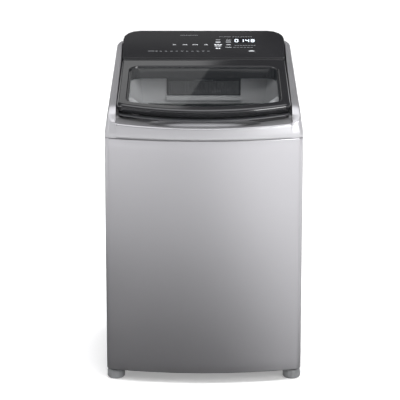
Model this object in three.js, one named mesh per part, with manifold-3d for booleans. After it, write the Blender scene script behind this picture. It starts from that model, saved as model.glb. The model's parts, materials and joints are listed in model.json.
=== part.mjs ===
// Top load washing machine, built as separate solids.
// Millimetres, +Z up. X runs to the right, the front faces -Y, the floor is Z = 0.

import * as THREE from "three";
import { mergeVertices } from "three/addons/utils/BufferGeometryUtils.js";
import Module from "manifold-3d";

const wasm = await Module();
wasm.setup();

// ---------- Driving dimensions ----------

const gap = 0.4;            // air between pieces that rest on each other
const past = 5;             // how far a cutter runs past what it cuts
const mergeStep = 1e-3;     // vertices closer than this are one vertex
const frontParts = 8;       // straight pieces in a bowed front
const cornerPiece = 13;     // corner radius for each straight piece of a corner

// Cabinet
const cabinetWidth = 660;
const cabinetDepth = 700;   // front centre to rear face
const cabinetBottom = 40;
const cabinetTop = 855;
const sheet = 1.2;          // steel sheet of the cabinet
const frontBow = 46;        // how far the middle of the front stands forward of its corners
const frontRadius = 22;
const rearRadius = 40;
const rearFlange = 60;      // steel folded in across the rear, beyond the corner
const frameWidth = 26;      // rails of the base frame and of the top frame
const frameHeight = 27;

// Top cover
const wall = 3.5;           // moulded walls
const coverUpright = 14;    // upright band above the seam, before the sides lean in
const sideLean = 0.15;      // inward lean of the sides, per millimetre of height
const fasciaHeight = 39;    // seam to the top edge of the fascia, at the centre
const fasciaSlope = 0.2;
const railFrontRise = 99;   // seam to the rail's shoulder
const railSlope = 0.1625;
const shelfRise = 116;      // seam to the flat shelf below the console
const coverRearRadius = 64; // the cover's rear corners, rounder than the cabinet's

// Lid
const consoleDepth = 191;   // console front edge to rear face
const lidRearGap = 6;       // open line between lid and console
const lidRearRise = 163;    // seam to the lid's top, at its rear edge
const lidFall = 63.31;      // lid's top, from its rear edge to its front edge
const lidThickness = 40;
const lidSideRoom = 40;     // lid's side to the cabinet's side, at the front corners
const lidFlare = -0.02;     // how much wider the lid is at the rear, as a share
const lidSetback = 16;      // lid's front edge behind the cabinet's front
const lidRake = 20;         // the nose leans back by this much
const lidBow = 60;
const lidRadius = 28;
const lidSideGap = 3;
const lidFloat = 7;         // lid's underside above the deck
const glassThickness = 4;
const glassLedge = 7;
const windowSideBorder = 31;
const windowFrontBorder = 29;
const windowRearBorder = 72;
const windowRadius = 36;

// Hinge
const hingeInset = 8;       // pin centre below and in front of the lid's rear top edge
const hingePin = 3;
const hingeKnuckle = 6.5;
const hingeWidth = 24;
const hingeFromSide = 80;   // pin centre inside the cabinet's side
const hingeClearance = 5;

// Loading well and dispenser
const wellSideMargin = 28;
const wellRearMargin = 27;
const wellFrontMargin = 110;
const wellCutX = 54;
const wellCutY = 105;
const wellRearCutX = 41;
const wellFrontHalf = 110;
const wellFrontCutY = 55;
const wellBottomRise = 11;  // seam to the skirt's lower edge
const skirtWall = 3;
const skirtFlange = 14;
const drawerWidth = 256;
const drawerHeight = 62;
const drawerDepth = 112;
const drawerWall = 2.5;
const drawerBelowDeck = 9.5; // deck at the well's rear edge to the drawer's top

// Console
const consoleFrontStep = 4; // console edge above the lid's rear edge
const consoleRise = 56;
const consoleRun = 187;
const consoleSideGap = 4;
const consoleRadius = 58;
const panelThickness = 4;
const boardDepth = 18;      // panel face to the control board
const buttonTravelRoom = 2;

// Tub, basket and agitator
const tubSwing = 43.8;      // space between tub and cabinet side
const tubOffset = 2;        // tub centre behind the middle of the cabinet
const tubWall = 4;
const tubFloor = 210;
const tubBelowSeam = 21;    // tub's upper edge below the top of the cabinet
const tubRingHeight = 14;
const tubRingReach = 45;
const basketClearance = 19; // tub wall to basket
const basketWall = 1.5;
const basketFloor = 236;
const basketBelowTub = 8;   // basket's upper edge below the tub's
const balanceHeight = 52;
const balanceWidth = 40;
const spinTube = 20;
const shaft = 11;
const bearingGap = 0.6;
const agitatorBase = 150;
const agitatorHeight = 330;
const agitatorColumn = 48;
const tubSides = 28;
const driveSides = 20;

// Drive
const gearcase = 66;
const gearcaseHeight = 96;
const drivePulley = 75;
const motorPulley = 24;
const motorDistance = 165;
const motorRadius = 58;
const beltHeight = 10;
const beltThickness = 6;
const beltGap = 1;          // belt to groove floor, in this slack belt
const pulleyLevel = 80;     // underside of the pulleys' grooves

// Suspension
const rodInset = 62;        // rod centre inside the cabinet's side
const rodSpread = 262;      // rods in front of and behind the tub centre
const rod = 5;
const rodHead = 11;
const rodCup = 20;
const rodBottom = 118;
const springWire = 2.5;
const springCoil = 14;
const springTurns = 3;
const springSteps = 9;      // straight pieces in one turn
const lugThickness = 26;
const lugRadius = 21;

// Feet
const footRadius = 30;
const footHeight = 34;
const footStud = 7;
const footSideInset = 30;   // foot centre inside the cabinet's side
const footEndInset = 40;    // foot centre inside the front corner or the rear face
const footSides = 16;

// Rear fittings
const spigotReach = 20;     // inlet thread behind the rear face
const spigotRadius = 13;
const glandRadius = 9;
const drainRadius = 15;

// ---------- Places worked out from the dimensions ----------

const halfWidth = cabinetWidth / 2;
const frontY = -(cabinetDepth + spigotReach) / 2;
const rearY = frontY + cabinetDepth;
const cornerY = frontY + frontBow;
const coverBottom = cabinetTop + gap;
const consoleFrontY = rearY - consoleDepth;
const lidRearY = consoleFrontY - lidRearGap;
const lidFrontY = frontY + lidSetback;
const lidLength = lidRearY - lidFrontY;
const lidSlope = lidFall / lidLength;
const lidWidth = cabinetWidth - 2 * lidSideRoom;
const lidRearZ = cabinetTop + lidRearRise;
const hingeY = lidRearY - hingeInset;
const hingeX = halfWidth - hingeFromSide;
const hingeZ = lidRearZ - hingeInset;
const shelfZ = cabinetTop + shelfRise;
const fasciaZ = cabinetTop + fasciaHeight;
const consoleFrontZ = lidRearZ + consoleFrontStep;
const consoleTilt = Math.atan2(consoleRise, consoleRun);
const consoleHalf = (lidWidth / 2) * (1 + lidFlare) + lidSideGap - consoleSideGap;
const panelLength = Math.hypot(consoleRise, consoleRun);
const consoleCrestZ = consoleFrontZ + consoleRise;
const tubY = (frontY + rearY) / 2 + tubOffset;
const tubRadius = Math.min(halfWidth, cabinetDepth / 2) - sheet - tubSwing;
const tubTop = cabinetTop - tubBelowSeam;
const basketTop = tubTop - basketBelowTub;
const basketRadius = tubRadius - tubWall - basketClearance;
const rodX = halfWidth - rodInset;
const frameTop = cabinetTop - sheet - gap;
const rodSeatZ = frameTop;
const rodRingRadius = Math.hypot(rodX, rodSpread);
const lugBottom = tubFloor + gap;
const wellHalf = lidWidth / 2 - wellSideMargin;
const wellRearY = lidRearY - wellRearMargin;
const wellFrontY = lidFrontY + wellFrontMargin;
const wellBottomZ = cabinetTop + wellBottomRise;

// Height of the lid's top surface, and of the deck below the lid, at a depth y.
const lidTopZ = (y) => lidRearZ + (y - lidRearY) * lidSlope;
const deckZ = (y) => lidTopZ(y) - lidThickness - lidFloat;
const drawerZ = deckZ(wellRearY) - drawerBelowDeck - drawerHeight;
const fasciaTopZ = (y) => fasciaZ + (y - frontY) * fasciaSlope;

// ---------- Materials ----------

function finish(color, roughness, metalness) {
  return new THREE.MeshStandardMaterial({ color, roughness, metalness });
}
const silverPaint = finish(0xb4b6b9, 0.38, 0.6);
const silverPlastic = finish(0xa9abae, 0.42, 0.3);
const blackGloss = finish(0x202123, 0.12, 0);
const smokedGlass = finish(0x3a4044, 0.05, 0);
const greyPlastic = finish(0x8f9294, 0.45, 0);
const darkPlastic = finish(0x46484a, 0.5, 0);
const whitePlastic = finish(0xe8e8e4, 0.5, 0);
const galvanised = finish(0x9a9ea1, 0.5, 0.8);
const stainless = finish(0xc7c9ca, 0.28, 0.95);
const castAluminium = finish(0x9fa1a3, 0.55, 0.8);
const blackRubber = finish(0x28282a, 0.8, 0);
const footPlastic = finish(0x77797b, 0.6, 0);
const boardGreen = finish(0x2f5d3a, 0.6, 0);

// ---------- Solids ----------

// A closed geometry as a solid: shared vertices merged, flat triangles dropped.
function solid(geometry) {
  geometry.deleteAttribute("normal");
  geometry.deleteAttribute("uv");
  const merged = mergeVertices(geometry, mergeStep);
  const index = merged.index.array;
  const triangles = [];
  for (let i = 0; i < index.length; i += 3) {
    const [a, b, c] = [index[i], index[i + 1], index[i + 2]];
    if (a !== b && b !== c && c !== a) triangles.push(a, b, c);
  }
  const vertProperties = new Float32Array(merged.attributes.position.array);
  const triVerts = new Uint32Array(triangles);
  return new wasm.Manifold(new wasm.Mesh({ numProp: 3, vertProperties, triVerts }));
}

function joined(first, ...others) {
  return others.reduce((sum, next) => sum.add(next), first);
}

function cut(first, ...others) {
  return others.reduce((rest, next) => rest.subtract(next), first);
}

function geometryOf(body) {
  const mesh = body.getMesh();
  const geometry = new THREE.BufferGeometry();
  geometry.setAttribute("position", new THREE.BufferAttribute(mesh.vertProperties, mesh.numProp));
  geometry.setIndex(new THREE.BufferAttribute(mesh.triVerts, 1));
  geometry.computeVertexNormals();
  return geometry;
}

function piece(name, body, material, parent) {
  const mesh = new THREE.Mesh(geometryOf(body), material);
  mesh.name = name;
  parent.add(mesh);
  return mesh;
}

// ---------- Basic forms ----------

// Moves every vertex of a geometry by a rule that changes the point in place.
function warped(geometry, rule) {
  const position = geometry.attributes.position;
  const point = new THREE.Vector3();
  for (let i = 0; i < position.count; i += 1) {
    point.fromBufferAttribute(position, i);
    rule(point);
    position.setXYZ(i, point.x, point.y, point.z);
  }
  return geometry;
}

function prism(shape, bottom, top, curveSegments = 3, steps = 1) {
  const options = { depth: top - bottom, bevelEnabled: false, curveSegments, steps };
  return new THREE.ExtrudeGeometry(shape, options).translate(0, 0, bottom);
}

// A side outline, drawn with Y across and Z up, carried along X.
function alongX(shape, left, right, curveSegments = 6) {
  const turn = new THREE.Matrix4().makeBasis(
    new THREE.Vector3(0, 1, 0),
    new THREE.Vector3(0, 0, 1),
    new THREE.Vector3(1, 0, 0),
  );
  return prism(shape, left, right, curveSegments).applyMatrix4(turn);
}

function block([x0, x1], [y0, y1], [z0, z1]) {
  const box = new THREE.BoxGeometry(x1 - x0, y1 - y0, z1 - z0);
  return solid(box.translate((x0 + x1) / 2, (y0 + y1) / 2, (z0 + z1) / 2));
}

function polygon(points) {
  return new THREE.Shape(points.map(([x, y]) => new THREE.Vector2(x, y)));
}

// An upright round bar.
function post(x, y, radius, bottom, top, sides = 14) {
  const bar = new THREE.CylinderGeometry(radius, radius, top - bottom, sides);
  return solid(bar.rotateX(Math.PI / 2).translate(x, y, (bottom + top) / 2));
}

// A round bar along X, or along Y.
function barX(left, right, y, z, radius, sides = 12) {
  const bar = new THREE.CylinderGeometry(radius, radius, right - left, sides);
  return solid(bar.rotateZ(Math.PI / 2).translate((left + right) / 2, y, z));
}

function barY(x, front, rear, z, radius, sides = 14) {
  const bar = new THREE.CylinderGeometry(radius, radius, rear - front, sides);
  return solid(bar.translate(x, (front + rear) / 2, z));
}

// A profile of [radius, height] points, counter-clockwise, turned about an upright axis.
function turned(profile, x, y, sides = tubSides) {
  const points = profile.map(([radius, height]) => new THREE.Vector2(radius, height));
  if (profile[0][0] > 0) points.push(points[0].clone());
  const lathe = new THREE.LatheGeometry(points, sides);
  return solid(lathe.rotateX(Math.PI / 2).translate(x, y, 0));
}

function roundedRectangle(width, height, radius, x = 0, y = 0) {
  const a = width / 2 - radius;
  const b = height / 2 - radius;
  const shape = new THREE.Shape();
  shape.absarc(x + a, y - b, radius, -Math.PI / 2, 0);
  shape.absarc(x + a, y + b, radius, 0, Math.PI / 2);
  shape.absarc(x - a, y + b, radius, Math.PI / 2, Math.PI);
  shape.absarc(x - a, y - b, radius, Math.PI, Math.PI * 1.5);
  return shape;
}

function arc(x, y, radius, start, end, parts) {
  const points = [];
  for (let i = 0; i <= parts; i += 1) {
    const angle = THREE.MathUtils.lerp(start, end, i / parts);
    points.push(new THREE.Vector2(x + radius * Math.cos(angle), y + radius * Math.sin(angle)));
  }
  return points;
}

// A corner's arc has more straight pieces when its radius is larger.
function corner(x, y, radius, start, end) {
  return arc(x, y, radius, start, end, Math.max(2, Math.round(radius / cornerPiece)));
}

// Plan outline with a front that bows forward, straight sides and a flat rear.
// The front is one large arc, and each corner is an arc that touches it and the side.
function bowedOutline({ half, front, rear, bow, nearRadius, farRadius }, inset = 0) {
  const smallest = 2;
  const arcRadius = (half * half + bow * bow) / (2 * bow);
  const arcY = front + arcRadius;
  const near = Math.max(nearRadius - inset, smallest);
  const far = Math.max(farRadius - inset, smallest);
  const big = arcRadius - inset;
  const side = half - inset;
  const nearY = arcY - Math.sqrt((big - near) ** 2 - (side - near) ** 2);
  const meet = Math.atan2(nearY - arcY, side - near);
  const back = rear - inset - far;
  return new THREE.Shape([
    ...arc(0, arcY, big, -Math.PI - meet, meet, frontParts),
    ...corner(side - near, nearY, near, meet, 0),
    ...corner(side - far, back, far, 0, Math.PI / 2),
    ...corner(-side + far, back, far, Math.PI / 2, Math.PI),
    ...corner(-side + near, nearY, near, Math.PI, Math.PI - meet),
  ]);
}

// ---------- Cabinet ----------

const cabinetPlan = {
  half: halfWidth,
  front: frontY,
  rear: rearY,
  bow: frontBow,
  nearRadius: frontRadius,
  farRadius: rearRadius,
};

// Front and sides in one wrap of steel, with a flange folded in at each rear corner.
function cabinetShell() {
  const outer = solid(prism(bowedOutline(cabinetPlan), cabinetBottom, cabinetTop));
  const inner = solid(prism(bowedOutline(cabinetPlan, sheet), cabinetBottom - past, cabinetTop + past));
  const openHalf = halfWidth - rearFlange;
  const opening = block([-openHalf, openHalf], [rearY - rearRadius, rearY + past], [0, cabinetTop + past]);
  return cut(outer, inner, opening);
}

function rearPanel() {
  const half = halfWidth - rearRadius - past;
  const face = rearY - sheet - gap;
  const bottom = cabinetBottom + frameHeight + 2 * gap;
  const top = frameTop - frameHeight - gap;
  const sheetBody = block([-half, half], [face - sheet, face], [bottom, top]);
  const rib = 14;
  const ribs = [];
  for (const level of [0.3, 0.5, 0.7]) {
    const z = bottom + (top - bottom) * level;
    ribs.push(block([-half * 0.8, half * 0.8], [face - sheet - 4, face - sheet / 2], [z - rib, z + rib]));
  }
  const drainHole = barY(drainX, face - past * 2, face + past, drainZ, drainRadius + gap);
  return cut(joined(sheetBody, ...ribs), drainHole);
}

// A rectangular ring that follows the inside of the cabinet.
function frameRing(bottom, top) {
  const fit = sheet + gap;
  const outer = solid(prism(bowedOutline(cabinetPlan, fit), bottom, top));
  const inner = solid(prism(bowedOutline(cabinetPlan, fit + frameWidth), bottom - past, top + past));
  return cut(outer, inner);
}

const footPlaces = {
  front_left: [-halfWidth + footSideInset, cornerY + footEndInset],
  front_right: [halfWidth - footSideInset, cornerY + footEndInset],
  rear_left: [-halfWidth + footSideInset, rearY - footEndInset],
  rear_right: [halfWidth - footSideInset, rearY - footEndInset],
};

const rodPlaces = {
  front_left: [-rodX, tubY - rodSpread],
  front_right: [rodX, tubY - rodSpread],
  rear_left: [-rodX, tubY + rodSpread],
  rear_right: [rodX, tubY + rodSpread],
};

function baseFrame() {
  const bottom = cabinetBottom + gap;
  const top = bottom + frameHeight;
  const pad = footStud * 2.6;
  const inside = solid(prism(bowedOutline(cabinetPlan, sheet + gap), bottom, top));
  let body = frameRing(bottom, top);
  for (const [x, y] of Object.values(footPlaces)) {
    const corner = block([x - pad, x + pad], [y - pad, y + pad], [bottom, top]);
    body = joined(body, corner.intersect(inside));
  }
  for (const [x, y] of Object.values(footPlaces)) {
    body = cut(body, post(x, y, footStud + gap, bottom - past, top + past, footSides));
  }
  return body;
}

// The upper ring carries the four suspension rods in gussets at its corners.
function topFrame() {
  const bottom = frameTop - frameHeight;
  const reach = rodHead * 2;
  let body = frameRing(bottom, frameTop);
  for (const [x, y] of Object.values(rodPlaces)) {
    const side = Math.sign(x);
    const edge = side * (halfWidth - frameWidth);
    const across = [Math.min(x - side * reach, edge), Math.max(x - side * reach, edge)];
    body = joined(body, block(across, [y - reach, y + reach], [bottom, frameTop]));
  }
  for (const [x, y] of Object.values(rodPlaces)) {
    body = cut(body, post(x, y, rod + gap, bottom - past, frameTop + past, 12));
  }
  return body;
}

function foot([x, y]) {
  const neck = footStud;
  const top = cabinetBottom + frameHeight;
  return turned([
    [0, 0],
    [footRadius - 4, 0],
    [footRadius, 5],
    [footRadius, footHeight - 10],
    [footRadius - 3, footHeight - 3],
    [footRadius - 9, footHeight],
    [neck, footHeight],
    [neck, top],
    [0, top],
  ], x, y, footSides);
}

// ---------- Top cover and loading well ----------

const coverPlan = { ...cabinetPlan, farRadius: coverRearRadius };

// The cover's outside: upright at the seam, then leaning in at the sides and the front.
function coverEnvelope(inset, bottom, top) {
  const upright = coverBottom + coverUpright;
  const levels = [bottom, upright, top];
  const unit = prism(bowedOutline(coverPlan, inset), 0, 2, 3, 2);
  return solid(warped(unit, (point) => {
    point.z = levels[Math.round(point.z)];
    const lean = Math.max(point.z - upright, 0) * sideLean;
    point.x -= Math.sign(point.x) * lean * Math.min(1, Math.abs(point.x) / (halfWidth / 2));
    if (point.y < tubY) point.y += lean * (tubY - point.y) / (tubY - frontY);
  }));
}

// Side outline of the rails: a low front end that sweeps up, then one straight slope.
function railOutline() {
  const shoulder = cornerY + 60;
  const shoulderZ = cabinetTop + railFrontRise;
  const shape = new THREE.Shape();
  shape.moveTo(frontY - past, cabinetTop - past);
  shape.lineTo(rearY + past, cabinetTop - past);
  shape.lineTo(rearY + past, shoulderZ + (rearY + past - shoulder) * railSlope);
  shape.lineTo(shoulder, shoulderZ);
  shape.quadraticCurveTo(shoulder - 34, shoulderZ - 6, cornerY - 6, fasciaZ + 14);
  shape.lineTo(frontY - past, fasciaTopZ(frontY));
  return shape;
}

const stepY = cornerY + 40;         // where the front ledge meets the deck
const stepRun = 12;

// Side outline of the space above the deck, open to the front, the rear and the sky.
function aboveDeck(lower = 0, frontLower = 0) {
  const sky = cabinetTop + 400;
  return polygon([
    [frontY - 40, fasciaTopZ(frontY - 40) - frontLower],
    [stepY, fasciaTopZ(stepY) - frontLower],
    [stepY + stepRun, deckZ(stepY + stepRun) - lower],
    [lidRearY, deckZ(lidRearY) - lower],
    [lidRearY + past, shelfZ - lower],
    [rearY + 40, shelfZ - lower],
    [rearY + 40, sky],
    [frontY - 40, sky],
  ]);
}

function lidHalfAt(y) {
  return (lidWidth / 2) * (1 + lidFlare * (y - lidFrontY) / lidLength);
}

// Space between the rails, wide enough for the lid and the console.
function bay() {
  const front = frontY - 30;
  const wide = lidHalfAt(lidRearY) + lidSideGap;
  const lidPart = polygon([
    [-lidHalfAt(front) - lidSideGap, front],
    [lidHalfAt(front) + lidSideGap, front],
    [wide, lidRearY],
    [wide, consoleFrontY + consoleRadius],
    [-wide, consoleFrontY + consoleRadius],
    [-wide, lidRearY],
  ]);
  const consolePart = bowedOutline({ ...consolePlan, half: wide - 2 * gap }, -2 * gap);
  const plans = [lidPart, consolePart].map((plan) => solid(prism(plan, cabinetTop - past, cabinetTop + 390)));
  return joined(...plans).intersect(solid(alongX(aboveDeck(), -halfWidth, halfWidth)));
}

// Ten-sided outline of the loading well, wider in the middle, narrower at the front.
function wellOutline(margin) {
  const half = wellHalf + margin;
  const front = wellFrontY - margin;
  const rear = wellRearY + margin;
  const rearHalf = half - wellRearCutX;
  const frontHalf = wellFrontHalf + margin / 2;
  const shoulderHalf = half - wellCutX;
  return polygon([
    [-frontHalf, front],
    [frontHalf, front],
    [shoulderHalf, front + wellFrontCutY],
    [half, front + wellFrontCutY + wellCutY],
    [half, rear - wellCutY],
    [rearHalf, rear],
    [-rearHalf, rear],
    [-half, rear - wellCutY],
    [-half, front + wellFrontCutY + wellCutY],
    [-shoulderHalf, front + wellFrontCutY],
  ]);
}

function fingerScoop() {
  const centreY = cornerY + 2;
  const bowl = new THREE.SphereGeometry(1, 24, 12);
  return solid(bowl.scale(190, 34, 22).translate(0, centreY, fasciaTopZ(centreY) + 2));
}

function topCover() {
  const sky = cabinetTop + 250;
  const outside = coverEnvelope(0, coverBottom, sky);
  const rails = solid(alongX(railOutline(), -halfWidth - past, halfWidth + past, 5));
  const below = solid(alongX(aboveDeck(wall, 22), -halfWidth - past, halfWidth + past));
  const inside = coverEnvelope(wall, coverBottom - past, sky);
  const hollow = cut(inside, below);
  const mouth = solid(prism(wellOutline(skirtWall + gap), cabinetTop, sky));
  const body = outside.intersect(rails);
  const reliefs = [bay(), hollow, mouth, fingerScoop(), hingePocket(-1), hingePocket(1)];
  return cut(body, ...reliefs, spigotHole(), glandHole());
}

// A short hole in the deck where each hinge bracket is clipped in.
function hingePocket(side) {
  const x = side * hingeX;
  const half = hingeWidth / 2 - 4 + gap;
  const deck = deckZ(hingeY);
  return block([x - half, x + half], [hingeY - 4 - gap, hingeY + 4 + gap], [deck - 3 * wall, deck + past * 2]);
}

// The grey liner of the well, with a flange that lies on the deck.
function wellSkirt() {
  const narrowing = 0.05;
  const lined = (margin, lift, drop) => {
    const unit = prism(wellOutline(margin), 0, 1);
    return solid(warped(unit, (point) => {
      const low = 1 - point.z;
      const topZ = deckZ(point.y) + lift;
      point.x *= 1 - narrowing * low;
      if (point.y < 0) point.y *= 1 - narrowing * low;
      point.z = THREE.MathUtils.lerp(topZ, wellBottomZ - drop, low);
    }));
  };
  const flangeThickness = skirtWall;
  const outside = lined(skirtWall, gap + flangeThickness, 0);
  const inside = lined(0, gap + flangeThickness + past, past);
  const flange = solid(warped(prism(wellOutline(skirtWall + skirtFlange), 0, 1), (point) => {
    point.z = deckZ(point.y) + gap + point.z * flangeThickness;
  }));
  const half = drawerWidth / 2 + gap * 2;
  const slot = block(
    [-half, half],
    [wellRearY - past, wellRearY + skirtWall + past],
    [drawerZ - gap * 2, drawerZ + drawerHeight + gap * 2],
  );
  const lip = block([-half, half], [wellRearY - 10, wellRearY + 1], [drawerZ - 16, drawerZ - 4]);
  const rearFlangeCut = block(
    [-halfWidth, halfWidth],
    [hingeY - hingeKnuckle - past, rearY],
    [deckZ(hingeY) - past, lidRearZ],
  );
  return joined(cut(joined(outside, cut(flange, rearFlangeCut)), inside, slot), lip);
}

// ---------- Detergent drawer ----------

function dispenserHousing() {
  const half = drawerWidth / 2 - 1;
  const front = wellRearY + skirtWall + gap;
  const rear = front + drawerDepth + 12;
  const bottom = drawerZ - 2;
  const top = drawerZ + drawerHeight + 3;
  const outer = block([-half, half], [front, rear], [bottom, top]);
  const inner = block(
    [-half + drawerWall, half - drawerWall],
    [front - past, rear - drawerWall],
    [bottom + drawerWall, top - drawerWall],
  );
  return cut(outer, inner);
}

function dispenserDrawer() {
  const trayHalf = drawerWidth / 2 - 6;
  const plateBack = wellRearY + skirtWall - gap;
  const trayTop = drawerZ + drawerHeight - 14;
  const trayBottom = drawerZ + 2;
  const plateHalf = drawerWidth / 2;
  const plate = block([-plateHalf, plateHalf], [plateBack - 7, plateBack], [drawerZ, drawerZ + drawerHeight]);
  const tray = block([-trayHalf, trayHalf], [plateBack - 1, plateBack + drawerDepth], [trayBottom, trayTop]);
  const divider = trayHalf * 0.3;
  const rooms = [[-trayHalf, -divider], [-divider, divider], [divider, trayHalf]].map(([left, right]) => block(
    [left + drawerWall, right - drawerWall],
    [plateBack + 1, plateBack + drawerDepth - drawerWall],
    [trayBottom + drawerWall, trayTop + past],
  ));
  const grip = block([-40, 40], [plateBack - 13, plateBack - 6], [drawerZ + drawerHeight - 9, drawerZ + drawerHeight]);
  return cut(joined(plate, tray, grip), ...rooms);
}

// ---------- Lid ----------

const lidPlan = {
  half: lidWidth / 2,
  front: lidFrontY,
  rear: lidRearY,
  bow: lidBow,
  nearRadius: lidRadius,
  farRadius: 4,
};

const windowPlan = {
  half: lidWidth / 2 - windowSideBorder,
  front: lidFrontY + windowFrontBorder,
  rear: lidRearY - windowRearBorder,
  bow: lidBow * 0.55,
  nearRadius: windowRadius,
  farRadius: windowRadius * 0.6,
};

// A slab of the lid between two heights above its underside.
// It widens to the rear, its nose leans back, and it follows the lid's slope.
function lidSlab(shape, bottom, top) {
  return solid(warped(prism(shape, bottom, top), (point) => {
    const share = point.z / lidThickness;
    point.x *= 1 + lidFlare * (point.y - lidFrontY) / lidLength;
    point.y += lidRake * share * (lidRearY - point.y) / lidLength;
    point.z += lidTopZ(point.y) - lidThickness;
  }));
}

function hingeNotch(side) {
  const x = side * hingeX;
  const half = hingeWidth / 2 + 1;
  const front = hingeY - hingeKnuckle - hingeClearance;
  return block([x - half, x + half], [front, lidRearY + past], [hingeZ - lidThickness * 2, hingeZ + lidThickness]);
}

function hingeBore(side) {
  const x = side * hingeX;
  const reach = hingeWidth / 2 + 9;
  return barX(x - reach, x + reach, hingeY, hingeZ, hingePin + gap);
}

function lidFrame() {
  const skin = lidThickness - wall - glassThickness;
  const outer = lidSlab(bowedOutline(lidPlan), 0, lidThickness);
  const view = lidSlab(bowedOutline(windowPlan, glassLedge), -past, lidThickness + past);
  const rabbetDepth = lidThickness - glassThickness - gap;
  const rabbet = lidSlab(bowedOutline(windowPlan), rabbetDepth, lidThickness + past);
  const trough = lidSlab(bowedOutline(lidPlan, wall + 0.5), -past, skin);
  const core = lidSlab(bowedOutline(windowPlan, glassLedge - wall), -past * 2, skin + past);
  const ring = cut(trough, core);
  const hingeWalls = [-1, 1].map((side) => {
    const x = side * hingeX;
    const half = hingeWidth / 2 + 14;
    const front = hingeY - hingeKnuckle - hingeClearance - wall;
    return block([x - half, x + half], [front, lidRearY], [hingeZ - lidThickness, hingeZ + hingeInset]);
  });
  const cheeks = joined(...hingeWalls).intersect(outer);
  const body = cut(joined(cut(outer, ring), cheeks), view, rabbet);
  return cut(body, hingeNotch(-1), hingeNotch(1), hingeBore(-1), hingeBore(1));
}

function lidGlass() {
  const bottom = lidThickness - glassThickness;
  return lidSlab(bowedOutline(windowPlan, gap), bottom, lidThickness);
}

// Lower frame that closes the lid's hollow border.
function lidTrim() {
  const plate = lidSlab(bowedOutline(lidPlan, wall + 0.5 + gap), 0, skirtWall);
  const opening = lidSlab(bowedOutline(windowPlan, glassLedge - wall - gap), -past, lidThickness / 2);
  const rear = hingeY - hingeKnuckle - hingeClearance - wall - gap;
  const behind = block([-halfWidth, halfWidth], [rear, rearY], [cabinetTop, lidRearZ + lidThickness]);
  return cut(plate, opening, behind);
}

// Bracket fixed to the deck, with the pin that the lid turns on.
function lidHinge(side) {
  const x = side * hingeX;
  const half = hingeWidth / 2;
  const stem = 4;
  const deck = deckZ(hingeY);
  const knuckle = barX(x - half, x + half, hingeY, hingeZ, hingeKnuckle);
  const pin = barX(x - half - 8, x + half + 8, hingeY, hingeZ, hingePin);
  const stand = block([x - half, x + half], [hingeY - stem, hingeY + stem], [deck + 3 * gap, hingeZ]);
  const clip = block([x - half + 4, x + half - 4], [hingeY - stem, hingeY + stem], [deck - 2 * wall, deck + past]);
  return joined(knuckle, pin, stand, clip);
}

function lidLock() {
  const [left, right] = [wellHalf + skirtWall + gap, halfWidth - wall * 6];
  const [front, rear] = [tubY - 60, tubY - 15];
  const box = new THREE.BoxGeometry(right - left, rear - front, 1);
  const placed = box.translate((left + right) / 2, (front + rear) / 2, 0.5);
  return solid(warped(placed, (point) => {
    const top = deckZ(point.y) - wall - gap;
    point.z = top - (1 - point.z) * 24;
  }));
}

// ---------- Console ----------

const consolePlan = {
  half: consoleHalf,
  front: consoleFrontY,
  rear: rearY - wall - 2 * gap,
  bow: 1,
  nearRadius: 6,
  farRadius: consoleRadius,
};

// From the panel's own frame (right, up the slope, out of the face) to the machine's.
const panelFrame = new THREE.Matrix4()
  .makeTranslation(0, consoleFrontY, consoleFrontZ)
  .multiply(new THREE.Matrix4().makeRotationX(consoleTilt));

// Side outline of everything below a plane that lies under the panel's face.
function underPanel(depth) {
  const drop = depth / Math.cos(consoleTilt);
  const slope = consoleRise / consoleRun;
  const ahead = consoleFrontY - past;
  const behind = rearY + past;
  return polygon([
    [ahead, shelfZ - past * 4],
    [behind, shelfZ - past * 4],
    [behind, consoleCrestZ - drop],
    [consoleFrontY + consoleRun, consoleCrestZ - drop],
    [ahead, consoleFrontZ - past * slope - drop],
  ]);
}

function consoleHousing() {
  const top = consoleFrontZ + consoleRise + past;
  const outer = solid(prism(bowedOutline(consolePlan), shelfZ + gap, top, 5));
  const inner = solid(prism(bowedOutline(consolePlan, wall), shelfZ - past, top + past, 5));
  const slope = solid(alongX(underPanel(panelThickness + gap), -halfWidth, halfWidth));
  return cut(cut(outer, inner).intersect(slope), spigotHole(), glandHole());
}

// Where the keys and the display are on the panel: centre [x, up the slope], width, height.
const keys = {
  option_button_1: { at: [-103, 92], size: [22, 12] },
  option_button_2: { at: [-66, 92], size: [22, 12] },
  option_button_3: { at: [-30, 92], size: [22, 12] },
  option_button_4: { at: [8, 92], size: [22, 12] },
  program_button: { at: [50, 110], size: [28, 14] },
  start_button: { at: [50, 66], size: [28, 16] },
  water_level_button: { at: [86, 92], size: [26, 14] },
  power_button: { at: [167, 46], size: [34, 13] },
};
const display = { at: [144, 122], size: [78, 34] };
const keyCorner = 4;

function onPanel(shape, bottom, top) {
  return solid(prism(shape, bottom, top, 1).applyMatrix4(panelFrame));
}

function controlPanel() {
  const above = solid(alongX(underPanel(0), -halfWidth, halfWidth));
  const below = solid(alongX(underPanel(panelThickness), -halfWidth - past, halfWidth + past));
  const top = consoleFrontZ + consoleRise + past;
  const plan = solid(prism(bowedOutline(consolePlan), shelfZ, top, 5));
  let body = cut(plan.intersect(above), below);
  for (const x of [-consoleHalf * 0.7, consoleHalf * 0.7]) {
    for (const up of [40, panelLength - 50]) {
      body = joined(body, onPanel(roundedRectangle(8, 8, 3, x, up), -boardDepth + gap, -panelThickness / 2));
    }
  }
  for (const { at, size } of [...Object.values(keys), display]) {
    const hole = roundedRectangle(size[0] + 2 * gap, size[1] + 2 * gap, keyCorner, ...at);
    body = cut(body, onPanel(hole, -panelThickness - past, past));
  }
  return body;
}

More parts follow.
